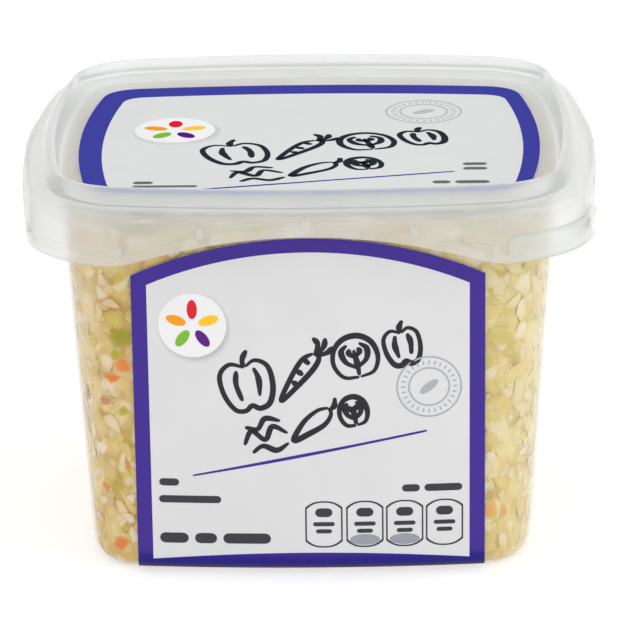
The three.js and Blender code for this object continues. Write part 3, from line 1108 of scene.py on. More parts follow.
class Sketch(Enum):
    """The hand-drawn vegetables on the labels, each as strokes in a ten-unit square."""

    PEPPER = (
        ((0.2, 3.4), (-2.6, 4.4), (-4.9, 2.6), (-4.9, -1.2), (-3.4, -4.4), (-1.4, -5.0), (0.1, -4.2),
         (1.6, -5.0), (3.7, -4.2), (5.0, -1.0), (4.8, 2.8), (2.6, 4.4), (0.4, 3.5)),
        ((-1.5, 3.0), (-2.1, 0.4), (-1.6, -3.0)),
        ((2.0, 3.0), (2.5, 0.6), (2.0, -2.6)),
        ((0.1, 3.4), (0.2, 5.0), (1.4, 6.6)),
    )
    CARROT = (
        ((3.9, 3.6), (1.0, 2.6), (-2.8, -1.4), (-5.6, -5.4), (-1.4, -3.0), (3.2, 0.2), (5.0, 2.4),
         (4.0, 3.6)),
        ((1.6, 2.6), (2.6, 1.4)),
        ((-0.6, 0.6), (0.6, -0.7)),
        ((-2.2, -1.6), (-1.2, -2.6)),
        ((4.4, 3.2), (5.4, 5.4), (4.6, 7.0)),
        ((4.6, 3.2), (6.6, 4.6), (7.4, 6.4)),
        ((4.9, 2.9), (7.2, 3.2), (8.6, 4.2)),
    )
    CABBAGE = (
        ((0.0, -4.8), (-3.6, -4.2), (-5.4, -1.0), (-4.6, 2.6), (-1.8, 4.8), (1.8, 4.9), (4.6, 2.8),
         (5.4, -0.8), (3.8, -4.0), (0.3, -4.8)),
        ((0.1, -4.4), (0.2, -1.6), (0.0, 1.8)),
        ((0.1, -2.6), (-2.4, -0.8), (-3.0, 1.8), (-1.4, 3.2)),
        ((0.2, -2.4), (2.6, -0.8), (3.2, 1.6), (1.6, 3.2)),
        ((0.1, 0.0), (-1.2, 1.0), (-1.0, 2.2)),
        ((0.1, 0.2), (1.3, 1.1), (1.1, 2.2)),
    )
    CHILLI = (
        ((4.6, 2.4), (1.6, 2.2), (-2.4, 0.2), (-5.8, -3.4), (-1.6, -2.6), (2.8, -1.2), (4.9, 0.8),
         (4.7, 2.4)),
        ((4.8, 1.8), (6.2, 2.6), (6.8, 4.4)),
    )
    SHREDS = (
        ((-5.4, -1.4), (-3.2, 1.6), (-0.6, -1.0), (1.6, 1.8), (4.6, -0.4)),
        ((-4.4, 2.8), (-1.8, 1.8), (0.4, 4.0), (3.6, 2.8)),
        ((-4.0, -3.6), (-1.4, -2.4), (1.4, -4.0), (4.4, -2.8)),
    )


@dataclass(frozen=True)
class Drawing:
    """One sketch put on a label."""

    sketch: Sketch
    centre: Point
    size: Point


@dataclass
class LabelArt:
    """The plain print of a label: badge, sketches, ruled line, seal, bars and rounded boxes.

    Places are given on the front label's face; stretch and shift carry them to another label.
    """

    sheet: PrintSheet
    violet: PrintedFilm
    ink: PrintedFilm
    shine: float = 0.22
    stretch: Point = (1.0, 1.0)
    shift: Point = (0.0, 0.0)
    badge: Point = (-20.5, 48.1)
    badge_radius: float = 6.05
    seal: Point = (21.3, 36.1)
    seal_radius: float = 5.85
    seal_line: float = 0.055
    seal_ticks: int = 28
    rule: tuple[Point, Point] = ((-21.0, 19.25), (20.9, 27.66))
    rule_width: float = 0.62
    brush_width: float = 1.15
    drawings: tuple[Drawing, ...] = (
        Drawing(Sketch.PEPPER, (-11.0, 36.9), (0.9, 0.98)),
        Drawing(Sketch.CARROT, (-1.6, 39.2), (0.78, 0.86)),
        Drawing(Sketch.CABBAGE, (8.2, 42.0), (0.74, 0.8)),
        Drawing(Sketch.PEPPER, (16.6, 44.0), (0.62, 0.72)),
        Drawing(Sketch.SHREDS, (-7.6, 27.2), (0.8, 0.8)),
        Drawing(Sketch.CHILLI, (0.6, 29.8), (0.7, 0.84)),
        Drawing(Sketch.CABBAGE, (7.8, 31.6), (0.46, 0.56)),
    )
    leaves: tuple[tuple[str, Colour], ...] = (
        ("red", linear(214, 30, 46)), ("orange", linear(236, 152, 24)), ("green", linear(120, 180, 50)),
        ("violet", linear(88, 24, 122)), ("yellow", linear(246, 190, 44)))
    bars: tuple[tuple[float, float, float, float], ...] = ()
    boxes: tuple[float, ...] = ()
    box_low: float = 5.2
    box_high: float = 14.3
    box_wide: float = 6.7
    box_line: float = 0.28
    box_sag: float = 1.25

    def _to(self, spot: Point) -> Point:
        """Carries a place from the front label's face to this label."""
        return spot[0] * self.stretch[0] + self.shift[0], spot[1] * self.stretch[1] + self.shift[1]

    def make(self) -> None:
        """Lays every print of the label."""
        self._badge()
        self._sketches()
        self._seal()
        finish = BAR_INK.make()
        self.sheet.lay("bars", [bar(*each) for each in self.bars], finish)
        for order, left in enumerate(self.boxes):
            self._box(order, left, finish)

    def _badge(self) -> None:
        """Lays the round sticker: a soft shade, a white disc and a ring of coloured leaves."""
        centre = self._to(self.badge)
        wide, tall = self.badge_radius * self.stretch[0], self.badge_radius * self.stretch[1]
        shade_at = (centre[0] + 0.35 * self.stretch[0], centre[1] - 0.55 * self.stretch[1])
        middle = self.sheet.place(np.array([shade_at]), self.sheet.film_top)[0]
        shade = SoftShade(f"{self.sheet.name}_sticker_shade", tuple(float(value) for value in middle),
                          wide * 0.9, tall * 1.12, linear(172, 172, 176), LABEL_WHITE)
        self.sheet.lay("sticker_shade", [ellipse(shade_at, wide * 1.08, tall * 1.08)], shade.make())
        self.sheet.lay("sticker", [ellipse(centre, wide, tall)], STICKER.make(), layer=2)
        for order, (name, colour) in enumerate(self.leaves):
            angle = math.pi / 2 + order * 2 * math.pi / len(self.leaves)
            spot = (centre[0] + math.cos(angle) * 0.5 * wide, centre[1] + math.sin(angle) * 0.5 * tall)
            leaf = ellipse(spot, wide * 0.3, tall * 0.15, 28, angle)
            finish = PrintedFilm(f"{name}_print", colour, specular=self.shine)
            self.sheet.lay(f"leaf_{name}", [leaf], finish.make(), layer=3)

    def _sketches(self) -> None:
        """Lays the brush-drawn vegetables and the ruled line under them."""
        (left, low), (right, high) = self._to(self.rule[0]), self._to(self.rule[1])
        tilt = math.atan2(high - low, right - left)
        lean = np.array([[math.cos(tilt), math.sin(tilt)], [-math.sin(tilt), math.cos(tilt)]])
        ribbons = []
        for drawing in self.drawings:
            centre = self._to(drawing.centre)
            for knots in drawing.sketch.value:
                size = (drawing.size[0] * self.stretch[0], drawing.size[1] * self.stretch[1])
                local = np.array(knots) * size @ lean + centre
                ribbons.append(brush(smooth_path(local.tolist()), self.brush_width * self.stretch[0]))
        self.sheet.lay_ribbons("sketches", ribbons, self.ink.make())
        line = brush(np.linspace((left, low), (right, high), 40), self.rule_width * self.stretch[0], 0.55)
        self.sheet.lay_ribbons("rule", [line], self.violet.make())

    def _seal(self) -> None:
        """Lays the grey seal: two rings with ticks between them and a small leaf in the middle."""
        centre = self._to(self.seal)
        wide, tall = self.seal_radius * self.stretch[0], self.seal_radius * self.stretch[1]
        rings = [ellipse(centre, wide * size, tall * size, 64)
                 for size in (1.0, 1.0 - self.seal_line, 0.64, 0.64 - self.seal_line)]
        finish = GREY_INK.make()
        self.sheet.lay("seal_outer", rings[:2], finish)
        self.sheet.lay("seal_inner", rings[2:], finish)
        ticks = []
        for i in range(self.seal_ticks):
            angle = 2 * math.pi * i / self.seal_ticks
            spot = (centre[0] + 0.79 * wide * math.cos(angle), centre[1] + 0.79 * tall * math.sin(angle))
            ticks.append(ellipse(spot, wide * 0.075, tall * 0.028, 10, angle))
        self.sheet.lay("seal_ticks", ticks, finish)
        leaf = ellipse(centre, wide * 0.34, tall * 0.13, 28, math.radians(38.0))
        self.sheet.lay("seal_leaf", [leaf], finish)

    def _box(self, order: int, left: float, finish: bpy.types.Material) -> None:
        """Lays one rounded box with its bars, and with a grey lens in the two middle ones.

        Args:
            order: Its place in the row, from 0.
            left: Its left edge.
            finish: The ink of its outline and bars.
        """
        centre = left + self.box_wide / 2
        across = np.linspace(-1.0, 1.0, 25)
        sag = self.box_sag * np.abs(across) ** 2.6
        loops = []
        for inset in (0.0, self.box_line):
            places = centre + across * (self.box_wide / 2 - inset)
            low, high = self.box_low + inset + sag, self.box_high - inset - sag
            loops.append(list(zip(places, low)) + list(zip(places, high))[::-1])
        self.sheet.lay(f"shield_{order}", loops, finish)
        marks = [bar(left + 1.8, 11.2, 3.1, 1.7), bar(left + 1.4, 9.4, 3.9, 0.8),
                 bar(left + 1.9, 8.0, 2.9, 0.8)]
        self.sheet.lay(f"shield_marks_{order}", marks, finish)
        if order in (1, 2):
            self.sheet.lay(f"shield_lens_{order}", [ellipse((centre, 6.7), 2.7, 1.05, 36)], LENS_INK.make())


@dataclass
class FrontLabel:
    """The arched film on the front of the tub, with its violet border and plain print."""

    form: TubForm
    half: float = 31.25
    low: float = 0.6
    corner_top: float = 57.3
    arch: float = 71.4
    field_half: float = 28.5
    field_low: float = 2.7
    field_low_arch: float = 271.0
    field_top: float = 55.6
    field_arch: float = 67.6
    gap: float = 0.06
    thick: float = 0.14

    def _outline(self) -> list[Point]:
        """Returns the film's outline."""
        across = np.linspace(self.half, -self.half, 33)
        rise = arched(self.arch, self.half, across)
        top = [(float(x), self.corner_top + float(up)) for x, up in zip(across, rise)]
        sides = np.linspace(self.low, self.corner_top, 17)
        right = [(self.half, float(z)) for z in sides[:-1]]
        left = [(-self.half, float(z)) for z in sides[::-1][1:]]
        base = [(float(x), self.low) for x in np.linspace(-self.half, self.half, 26)[1:-1]]
        return right + top + left + base

    def _field(self) -> list[Point]:
        """Returns the outline of the white field inside the border."""
        across = np.linspace(self.field_half, -self.field_half, 33)
        rise = arched(self.field_arch, self.field_half, across)
        top = [(float(x), self.field_top + float(up)) for x, up in zip(across, rise)]
        lift = arched(self.field_low_arch, self.field_half, across)
        base = [(float(x), self.field_low + float(up)) for x, up in zip(across[::-1], lift[::-1])]
        return top + base

    def make(self) -> None:
        """Builds the film, its border and its print."""
        def place(drawn: np.ndarray, lift: float) -> np.ndarray:
            """Maps the flat drawing onto the wall."""
            return self.form.front(drawn[:, 0], drawn[:, 1], lift)

        sheet = PrintSheet("front", place, "label_film", self.gap + self.thick,
                           level_cuts=(0.8, 1.05, 1.35, 1.7, 2.0, 2.35, 2.7, 3.05, 3.4, 3.7))
        self._film()
        # the border carries painted shade towards its foot
        sheet.lay("border", [self._outline(), self._field()], VIOLET.make())
        art = LabelArt(sheet, VIOLET, INK,
                       bars=((-27.1, 17.2, 3.6, 1.4), (-27.2, 13.9, 11.2, 1.4), (-27.2, 6.0, 5.2, 2.0),
                             (-20.9, 6.0, 4.0, 2.0), (-15.8, 6.0, 8.6, 2.0), (16.4, 15.9, 3.2, 1.4),
                             (20.4, 15.9, 6.8, 1.4)),
                       boxes=(-1.0, 6.35, 13.5, 20.65))
        art.make()

    def _film(self) -> None:
        """Builds the film itself as a fine closed sheet on the wall."""
        across = np.linspace(-self.half, self.half, 61)
        top = arched(self.arch, self.half, across) + self.corner_top
        turn = self.form.edge_radius
        rows = [np.full_like(across, level) for level in np.linspace(self.low, turn, 12)[:-1]]
        rows += [turn + (top - turn) * share for share in np.linspace(0.0, 1.0, 25)]
        height = np.array(rows)
        wide = np.broadcast_to(across, height.shape).ravel()
        sides = [self.form.front(wide, height.ravel(), lift) for lift in (self.gap + self.thick, self.gap)]
        faces = thickened(grid_faces(*height.shape, closed=False).tolist(), height.size)
        film = build("front_film", np.concatenate(sides), faces, FILM.make(), smooth=False)
        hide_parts("label_front")


@dataclass
class LidLabel:
    """The film on the lid's panel: bowed edges, round corners, blue-violet border and plain print."""

    panel_top: float = 69.8
    half_x: float = 42.3
    half_y: float = 38.5
    field_x: float = 38.6
    field_y: float = 33.7
    field_shift: Point = (0.6, -1.5)
    side_arc: float = 180.0
    end_arc: float = 290.0
    gap: float = 0.06
    thick: float = 0.14

    def _outline(self, half_x: float, half_y: float, corner: float) -> list[Point]:
        """Returns a bowed outline with round corners.

        Args:
            half_x: Half its width at the middle.
            half_y: Half its depth at the middle.
            corner: The rounding's reach along each edge.

        Returns:
            The outline's points.
        """
        end_x, end_y = half_x - corner - 2.6, half_y - corner - 1.6
        side_x = half_x - end_y ** 2 / (2 * self.side_arc)
        side_y = half_y - end_x ** 2 / (2 * self.end_arc)
        tip = (side_x - (side_y - end_y) * end_y / self.side_arc,
               side_y - (side_x - end_x) * end_x / self.end_arc)

        def curve(start: Point, pull: Point, end: Point, steps: int) -> list[Point]:
            """Returns a curve's points without its last."""
            first, second, third = np.array(start), np.array(pull), np.array(end)
            return [tuple(first * (1 - t) ** 2 + second * 2 * t * (1 - t) + third * t * t)
                    for t in np.linspace(0.0, 1.0, steps, endpoint=False)]

        pull_x, pull_y = 2 * half_x - side_x, 2 * half_y - side_y
        ends = [(side_x, -end_y), (side_x, end_y), (end_x, side_y), (-end_x, side_y),
                (-side_x, end_y), (-side_x, -end_y), (-end_x, -side_y), (end_x, -side_y)]
        pulls = [(pull_x, 0.0), tip, (0.0, pull_y), (-tip[0], tip[1]),
                 (-pull_x, 0.0), (-tip[0], -tip[1]), (0.0, -pull_y), (tip[0], -tip[1])]
        found: list[Point] = []
        for order, (start, pull, end) in enumerate(zip(ends, pulls, ends[1:] + ends[:1])):
            found += curve(start, pull, end, 8 if order % 2 else 16)
        return found

    def make(self) -> None:
        """Builds the film, its border and its print."""
        def place(drawn: np.ndarray, lift: float) -> np.ndarray:
            """Maps the flat drawing onto the panel."""
            return np.column_stack([drawn, np.full(len(drawn), self.panel_top + lift)])

        bare = PrintSheet("lid", place, "lid_label_film", self.gap + self.thick, cut_every=0.0,
                          ink_thick=self.thick)
        bare.film_top = self.gap
        outer = self._outline(self.half_x, self.half_y, 6.4)
        film = bare.lay("film", [outer], LID_FILM.make())
        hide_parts("label_lid")
        sheet = PrintSheet("lid", place, "lid_label_film", self.gap + self.thick, cut_every=0.0)
        inner = [(x + self.field_shift[0], y + self.field_shift[1])
                 for x, y in self._outline(self.field_x, self.field_y, 4.0)]
        sheet.lay("border", [outer, inner], LID_VIOLET.make())
        art = LabelArt(sheet, LID_VIOLET, LID_INK, shine=0.0, stretch=(1.24, 1.42), shift=(0.3, -62.0),
                       badge=(-20.5, 48.1), seal=(16.9, 56.6),
                       bars=((-31.2, -29.4, 3.6, 1.6), (-31.2, -31.6, 11.6, 1.2), (22.2, -30.4, 3.2, 1.8),
                             (26.2, -30.4, 6.2, 1.8), (27.8, -21.6, 4.4, 1.6), (27.8, -18.6, 4.4, 1.6)))
        art.make()


# The slaw

class Kind(Enum):
    """The kinds of chopped piece: share of the pieces, length, width, how soaked they may be, and tints."""

    CABBAGE_WHITE = ("cabbage_white", 0.36, (2.6, 7.0), (1.8, 3.6), 0.4,
                     ((244, 226, 202), (240, 221, 190), (246, 228, 212), (240, 219, 182)))
    CABBAGE_CREAM = ("cabbage_cream", 0.36, (3.4, 9.0), (2.4, 5.0), 0.4,
                     ((232, 204, 140), (228, 196, 124), (236, 210, 154), (224, 188, 108)))
    CABBAGE_SHREDS = ("cabbage_shreds", 0.06, (6.5, 13.0), (1.2, 2.1), 0.4,
                      ((240, 218, 178), (236, 212, 160), (232, 206, 142)))
    CABBAGE_GREEN = ("cabbage_green", 0.14, (3.0, 7.5), (1.4, 3.4), 0.3,
                     ((216, 198, 96), (208, 188, 76), (224, 208, 126), (200, 180, 60)))
    PEPPER_GREEN = ("pepper_green", 0.025, (2.8, 5.6), (1.8, 3.6), 0.1,
                    ((170, 164, 4), (184, 178, 12), (150, 146, 0), (198, 190, 30)))
    CARROT = ("carrot", 0.03, (2.2, 5.4), (1.3, 2.8), 0.1,
              ((230, 122, 8), (226, 108, 4), (236, 138, 20), (228, 146, 40)))
    PEPPER_RED = ("pepper_red", 0.025, (2.4, 5.2), (1.0, 1.9), 0.2,
                  ((180, 118, 86), (166, 100, 72), (198, 138, 104), (154, 90, 64)))

    def __init__(self, title: str, share: float, length: Point, width: Point, soak: float,
                 tints: tuple[tuple[int, int, int], ...]) -> None:
        """Names the fields of a kind."""
        self.title = title
        self.share = share
        self.length = length
        self.width = width
        self.soak = soak
        self.tints = tints


@dataclass(frozen=True)
class Bit:
    """One piece at a chosen place: bearing round the tub from +X, height, size and lean in degrees."""

    kind: Kind
    bearing: float
    height: float
    length: float
    width: float
    lean: float


SHOWN_BITS = (
    Bit(Kind.CABBAGE_GREEN, 229.3, 48.0, 5.6, 4.4, 60.0),
    Bit(Kind.PEPPER_GREEN, 231.0, 45.2, 6.4, 4.2, 20.0),
    Bit(Kind.PEPPER_GREEN, 230.0, 41.6, 3.8, 2.4, 0.0),
    Bit(Kind.CARROT, 231.0, 39.8, 4.0, 3.4, 90.0),
    Bit(Kind.CARROT, 228.6, 37.0, 5.0, 2.0, 12.0),
    Bit(Kind.PEPPER_RED, 220.4, 32.6, 6.0, 2.0, 80.0),
    Bit(Kind.PEPPER_RED, 226.2, 32.4, 4.8, 2.0, 4.0),
    Bit(Kind.PEPPER_GREEN, 230.4, 31.0, 3.0, 1.8, 30.0),
    Bit(Kind.CARROT, 230.6, 20.6, 3.8, 1.2, 105.0),
    Bit(Kind.CARROT, 224.8, 15.6, 2.6, 1.7, 150.0),
    Bit(Kind.CARROT, 228.0, 5.0, 6.6, 3.2, 14.0),
    Bit(Kind.PEPPER_RED, 223.0, 62.0, 5.0, 2.6, 10.0),
    Bit(Kind.CABBAGE_GREEN, 309.6, 45.0, 8.0, 3.4, -18.0),
    Bit(Kind.CABBAGE_GREEN, 307.6, 40.6, 5.4, 3.0, 85.0),
    Bit(Kind.CARROT, 309.3, 11.4, 4.2, 3.8, 90.0),
    Bit(Kind.CARROT, 312.2, 10.8, 3.6, 2.0, 100.0),
    Bit(Kind.CABBAGE_WHITE, 228.8, 51.2, 4.4, 1.9, 5.0),
    Bit(Kind.CABBAGE_WHITE, 227.0, 40.0, 4.0, 3.2, 60.0),
    Bit(Kind.CABBAGE_WHITE, 227.6, 28.4, 6.4, 2.8, -28.0),
    Bit(Kind.CABBAGE_WHITE, 314.8, 49.0, 5.0, 2.2, 85.0),
    Bit(Kind.CABBAGE_WHITE, 315.0, 44.8, 4.6, 2.8, 60.0),
    Bit(Kind.CABBAGE_WHITE, 308.2, 37.8, 4.8, 2.6, 40.0),
    Bit(Kind.CABBAGE_WHITE, 315.2, 33.0, 6.6, 3.2, 72.0),
    Bit(Kind.CABBAGE_WHITE, 312.2, 5.4, 4.4, 3.0, 110.0),
    Bit(Kind.CARROT, 223.2, 62.6, 4.8, 3.0, 10.0),
    Bit(Kind.CABBAGE_WHITE, 226.6, 65.2, 7.0, 3.4, 0.0),
    Bit(Kind.PEPPER_GREEN, 235.4, 65.8, 9.0, 2.8, 5.0),
    Bit(Kind.CABBAGE_GREEN, 243.6, 65.6, 9.0, 3.2, -5.0),
    Bit(Kind.PEPPER_GREEN, 259.4, 66.2, 8.0, 2.6, 8.0),
    Bit(Kind.CABBAGE_WHITE, 268.0, 65.8, 8.0, 3.2, 0.0),
    Bit(Kind.CABBAGE_WHITE, 278.0, 66.2, 7.0, 2.8, 0.0),
    Bit(Kind.CABBAGE_GREEN, 286.6, 66.2, 7.0, 2.8, 0.0),
    Bit(Kind.CARROT, 290.4, 66.0, 3.6, 2.0, 0.0),
    Bit(Kind.CABBAGE_WHITE, 298.6, 65.4, 9.0, 4.2, 4.0),
    Bit(Kind.CARROT, 312.5, 64.2, 3.4, 2.2, 0.0),
)


@dataclass
class ChipCloud:
    """A batch of chopped pieces of one kind, shaped flat and then laid on the wall, the top or the floor."""

    kind: Kind
    count: int
    rng: np.random.Generator
    sizes: np.ndarray | None = None
    around: int = 8
    ring_sizes: tuple[float, ...] = (0.42, 0.74, 1.0)
    ring_rises: tuple[float, ...] = (0.46, 0.42, 0.26)
    ring_dryness: tuple[float, ...] = (1.0, 0.7, 0.0)
    hub_rises: Point = (0.52, -0.7)

    @property
    def corners(self) -> int:
        """Returns how many vertices one piece has."""
        return len(self.ring_sizes) * self.around + 2

    def _half_sizes(self) -> tuple[np.ndarray, np.ndarray]:
        """Returns half the length and half the width of every piece, each pieces by one."""
        rng, count = self.rng, self.count
        if self.sizes is not None:
            return self.sizes[:, :1] / 2, self.sizes[:, 1:] / 2
        long = rng.uniform(*self.kind.length, (count, 1)) / 2
        wide = np.minimum(rng.uniform(*self.kind.width, (count, 1)) / 2, long * 0.85)
        small = np.where(rng.uniform(size=(count, 1)) < 0.3, rng.uniform(0.45, 0.75, (count, 1)), 1.0)
        return long * small, wide * small

    def shape(self) -> tuple[np.ndarray, np.ndarray, np.ndarray]:
        """Shapes every piece round its own middle.

        Returns:
            Along, across and rise of each vertex, each pieces by vertices.
        """
        rng, count, around = self.rng, self.count, self.around
        long, wide = self._half_sizes()
        thick = rng.uniform(0.4, 0.8, (count, 1))
        angle = 2 * math.pi * (np.arange(around) + rng.uniform(-0.24, 0.24, (count, around))) / around
        power = rng.uniform(2.0, 5.0, (count, 1))
        fullness = np.abs(np.cos(angle) / long) ** power + np.abs(np.sin(angle) / wide) ** power
        reach = fullness ** (-1 / power) * rng.uniform(0.86, 1.08, (count, around))
        x, y = reach * np.cos(angle), reach * np.sin(angle)
        y = y * (1 - rng.uniform(0.0, 0.6, (count, 1)) * x / long)
        y = y + rng.uniform(-0.28, 0.28, (count, 1)) * long * (x / long) ** 2
        centre = np.zeros((count, 1))
        along = np.concatenate([centre, *[x * size for size in self.ring_sizes], centre], axis=1)
        across = np.concatenate([centre, *[y * size for size in self.ring_sizes], centre], axis=1)
        ripple = rng.uniform(-0.16, 0.16, (count, around))
        front, back = (centre + level for level in self.hub_rises)
        rise = np.concatenate([front, *[ripple + level for level in self.ring_rises], back], axis=1) * thick
        rise = rise + rng.uniform(-0.5, 0.5, (count, 1)) * (along / long) ** 2
        return along, across, rise

    def faces(self) -> np.ndarray:
        """Returns the triangles of every piece, with the rising side outwards."""
        around, rings = self.around, len(self.ring_sizes)
        first = np.arange(around) + 1
        after = first % around + 1
        hub = np.zeros(around, dtype=int)
        last = np.full(around, rings * around + 1)
        parts = [np.stack([hub, first, after], axis=1)]
        for ring in range(rings - 1):
            low = ring * around
            parts.append(np.stack([first + low, first + low + around, after + low + around], axis=1))
            parts.append(np.stack([first + low, after + low + around, after + low], axis=1))
        edge = (rings - 1) * around
        parts.append(np.stack([last, after + edge, first + edge], axis=1))
        one = np.concatenate(parts)
        return (one[None] + (np.arange(self.count) * self.corners)[:, None, None]).reshape(-1, 3)

    def mark_rims(self, piece: bpy.types.Object) -> None:
        """Marks the outermost ring of every piece sharp, so that its front is not shaded like its back."""
        ends = np.empty(2 * len(piece.data.edges), dtype=np.int32)
        piece.data.edges.foreach_get("vertices", ends)
        spot = ends.reshape(-1, 2) % self.corners
        rims = np.all((spot > self.corners - 2 - self.around) & (spot < self.corners - 1), axis=1)
        sharp = piece.data.attributes.new("sharp_edge", "BOOLEAN", "EDGE")
        sharp.data.foreach_set("value", rims)

    def tints(self) -> np.ndarray:
        """Returns a tint for each vertex, with how dry the piece is there in its alpha."""
        table = np.array([linear(*tint) for tint in self.kind.tints])
        pick = self.rng.integers(0, len(table), self.count)
        second = self.rng.integers(0, len(table), self.count)
        share = self.rng.uniform(0.0, 0.6, (self.count, self.corners, 1))
        base = table[pick][:, None] * (1 - share) + table[second][:, None] * share
        base = base * self.rng.uniform(0.9, 1.04, (self.count, 1, 1))
        dryness = np.concatenate([[1.0], np.repeat(self.ring_dryness, self.around), [0.0]])[None, :, None]
        dry = dryness * self.rng.uniform(1.0 - self.kind.soak, 1.0, (self.count, 1, 1))
        return np.concatenate([np.clip(base, 0.0, 1.0), dry], axis=2).reshape(-1, 4)


@dataclass(frozen=True)
class Spread:
    """Evenly spread places for one layer of pieces, each with its kind drawn by the kinds' shares."""

    count: int
    seed: int
    steps: Point = (0.7548776662, 0.5698402910)

    def of_kind(self, kind: Kind) -> np.ndarray:
        """Returns the places of a kind, as shares of the layer's width and height, n by 2."""
        rng = np.random.default_rng(self.seed)
        order = np.arange(self.count)[:, None]
        jitter = rng.normal(0.0, 0.3 / math.sqrt(self.count), (self.count, 2))
        places = np.mod(order * np.array(self.steps) + jitter, 1.0)
        shares = np.cumsum([each.share for each in Kind])
        drawn = np.searchsorted(shares / shares[-1], rng.uniform(size=self.count))
        return places[drawn == list(Kind).index(kind)]


@dataclass
class Slaw:
    """The chopped slaw: a core of dressing and pulp, and loose pieces pressed to wall, floor and lid."""

    form: TubForm
    walls: WallMap
    wall_front: Spread = Spread(2500, 3)
    wall_back: Spread = Spread(2300, 5)
    top: Spread = Spread(1200, 7)
    floor: Spread = Spread(650, 9)
    top_height: float = 67.6
    lid_underside: float = 68.7
    core_depth: float = 0.06
    core_relief: float = 0.12
    core_around: int = 420
    core_levels: int = 76
    into_wall: float = 0.1
    back_layer: float = 0.06
    bit_step: float = 0.004
    rare_share: float = 0.05
    hand_strips: tuple[Point, ...] = ((214.0, 236.0), (304.0, 326.0))
    hand_height: float = 35.0

    def _turned(self, along: np.ndarray, across: np.ndarray,
                turn: np.ndarray) -> tuple[np.ndarray, np.ndarray]:
        """Turns the pieces in their own plane."""
        return along * np.cos(turn) - across * np.sin(turn), along * np.sin(turn) + across * np.cos(turn)

    def _on_plastic(self, place: np.ndarray, height: np.ndarray, depth: np.ndarray) -> np.ndarray:
        """Returns the pieces' vertices on the wall, kept between the floor and the lid."""
        kept = np.clip(height, self.form.floor + 0.05, self.lid_underside - 0.5)
        return self.walls.spot(place, kept, depth)

    def _on_wall(self, cloud: ChipCloud, spots: np.ndarray, behind: float) -> np.ndarray:
        """Lays pieces against the wall, flattened where they press on the plastic.

        Args:
            cloud: The pieces.
            spots: Their places, as shares of the perimeter and of the height.
            behind: How far behind the plastic this layer lies.

        Returns:
            Their vertices.
        """
        rng, count = cloud.rng, cloud.count
        along, across, rise = cloud.shape()
        run, climb = self._turned(along, across, rng.uniform(0.0, math.pi, (count, 1)))
        place = spots[:, :1] * self.walls.perimeter + run
        height = 1.2 + spots[:, 1:] * (self.top_height - 1.8) + climb
        rest = self.form.wall - self.into_wall + behind + rng.uniform(0.01, 0.06, (count, 1))
        tip = rng.normal(0.0, 0.03, (count, 1)) * run + rng.normal(0.0, 0.03, (count, 1)) * climb
        return self._on_plastic(place, height, np.maximum(rest + 0.2 - rise + tip, rest))

    def _as_shown(self, cloud: ChipCloud, bits: Sequence[Bit]) -> np.ndarray:
        """Lays the chosen bits of a kind in front of the others, each at its own place."""
        along, across, rise = cloud.shape()
        run, climb = self._turned(along, across, np.radians([[bit.lean] for bit in bits]))
        place = np.array([[self.walls.at_bearing(bit.bearing, bit.height)] for bit in bits]) + run
        height = np.array([[bit.height] for bit in bits]) + climb
        order = np.array([[SHOWN_BITS.index(bit)] for bit in bits])
        rest = self.form.wall - self.into_wall - self.bit_step * order
        return self._on_plastic(place, height, np.maximum(rest + 0.1 - rise, rest))

    def _flat_spots(self, cloud: ChipCloud, spots: np.ndarray,
                    reach: float) -> tuple[np.ndarray, np.ndarray, np.ndarray]:
        """Turns pieces and lays them out flat.

        Args:
            cloud: The pieces.
            spots: Their places, as shares of the square's sides.
            reach: Half the square's side.

        Returns:
            X, Y and rise of their vertices.
        """
        rng, count = cloud.rng, cloud.count
        along, across, rise = cloud.shape()
        x, y = self._turned(along, across, rng.uniform(0.0, math.pi, (count, 1)))
        middle = (2 * spots - 1) * reach
        lean = rng.normal(0.0, 0.16, (count, 1)) * x + rng.normal(0.0, 0.16, (count, 1)) * y
        return middle[:, :1] + x, middle[:, 1:] + y, rise + lean

    def _kept_inside(self, x: np.ndarray, y: np.ndarray, height: float) -> tuple[np.ndarray, np.ndarray]:
        """Pulls places in so that they stay inside the wall at a height."""
        half = self.form.base_half + self.form.slope * height - self.form.wall - 0.3
        corner = self.form.base_corner + self.form.corner_growth * height
        inner = half - corner - 1.6
        over_x, over_y = np.maximum(np.abs(x) - inner, 0.0), np.maximum(np.abs(y) - inner, 0.0)
        far = np.hypot(over_x, over_y)
        scale = np.where(far > corner, corner / np.maximum(far, 1e-9), 1.0)
        return (np.sign(x) * (np.minimum(np.abs(x), inner) + over_x * scale),
                np.sign(y) * (np.minimum(np.abs(y), inner) + over_y * scale))

    def _on_top(self, cloud: ChipCloud, spots: np.ndarray) -> np.ndarray:
        """Lays pieces loosely over the top."""
        x, y, rise = self._flat_spots(cloud, spots, self.form.base_half + 1.5)
        x, y = self._kept_inside(x, y, self.top_height)
        low = cloud.rng.uniform(-0.8, 0.7, (cloud.count, 1))
        height = np.clip(self.top_height + low + rise, self.top_height - 3.0, self.lid_underside - 0.1)
        return np.stack([x, y, height], axis=-1)

    def _on_floor(self, cloud: ChipCloud, spots: np.ndarray) -> np.ndarray:
        """Lays pieces flat on the floor, as they are seen through it from below."""
        x, y, rise = self._flat_spots(cloud, spots, self.form.base_half - 4.5)
        x, y = self._kept_inside(x, y, -self.form.edge_radius / self.form.slope * 0.55)
        rest = self.form.floor - self.into_wall + cloud.rng.uniform(0.02, 0.16, (cloud.count, 1))
        height = np.maximum(rest + 0.25 - rise, rest)
        return np.stack([x, y, height], axis=-1)

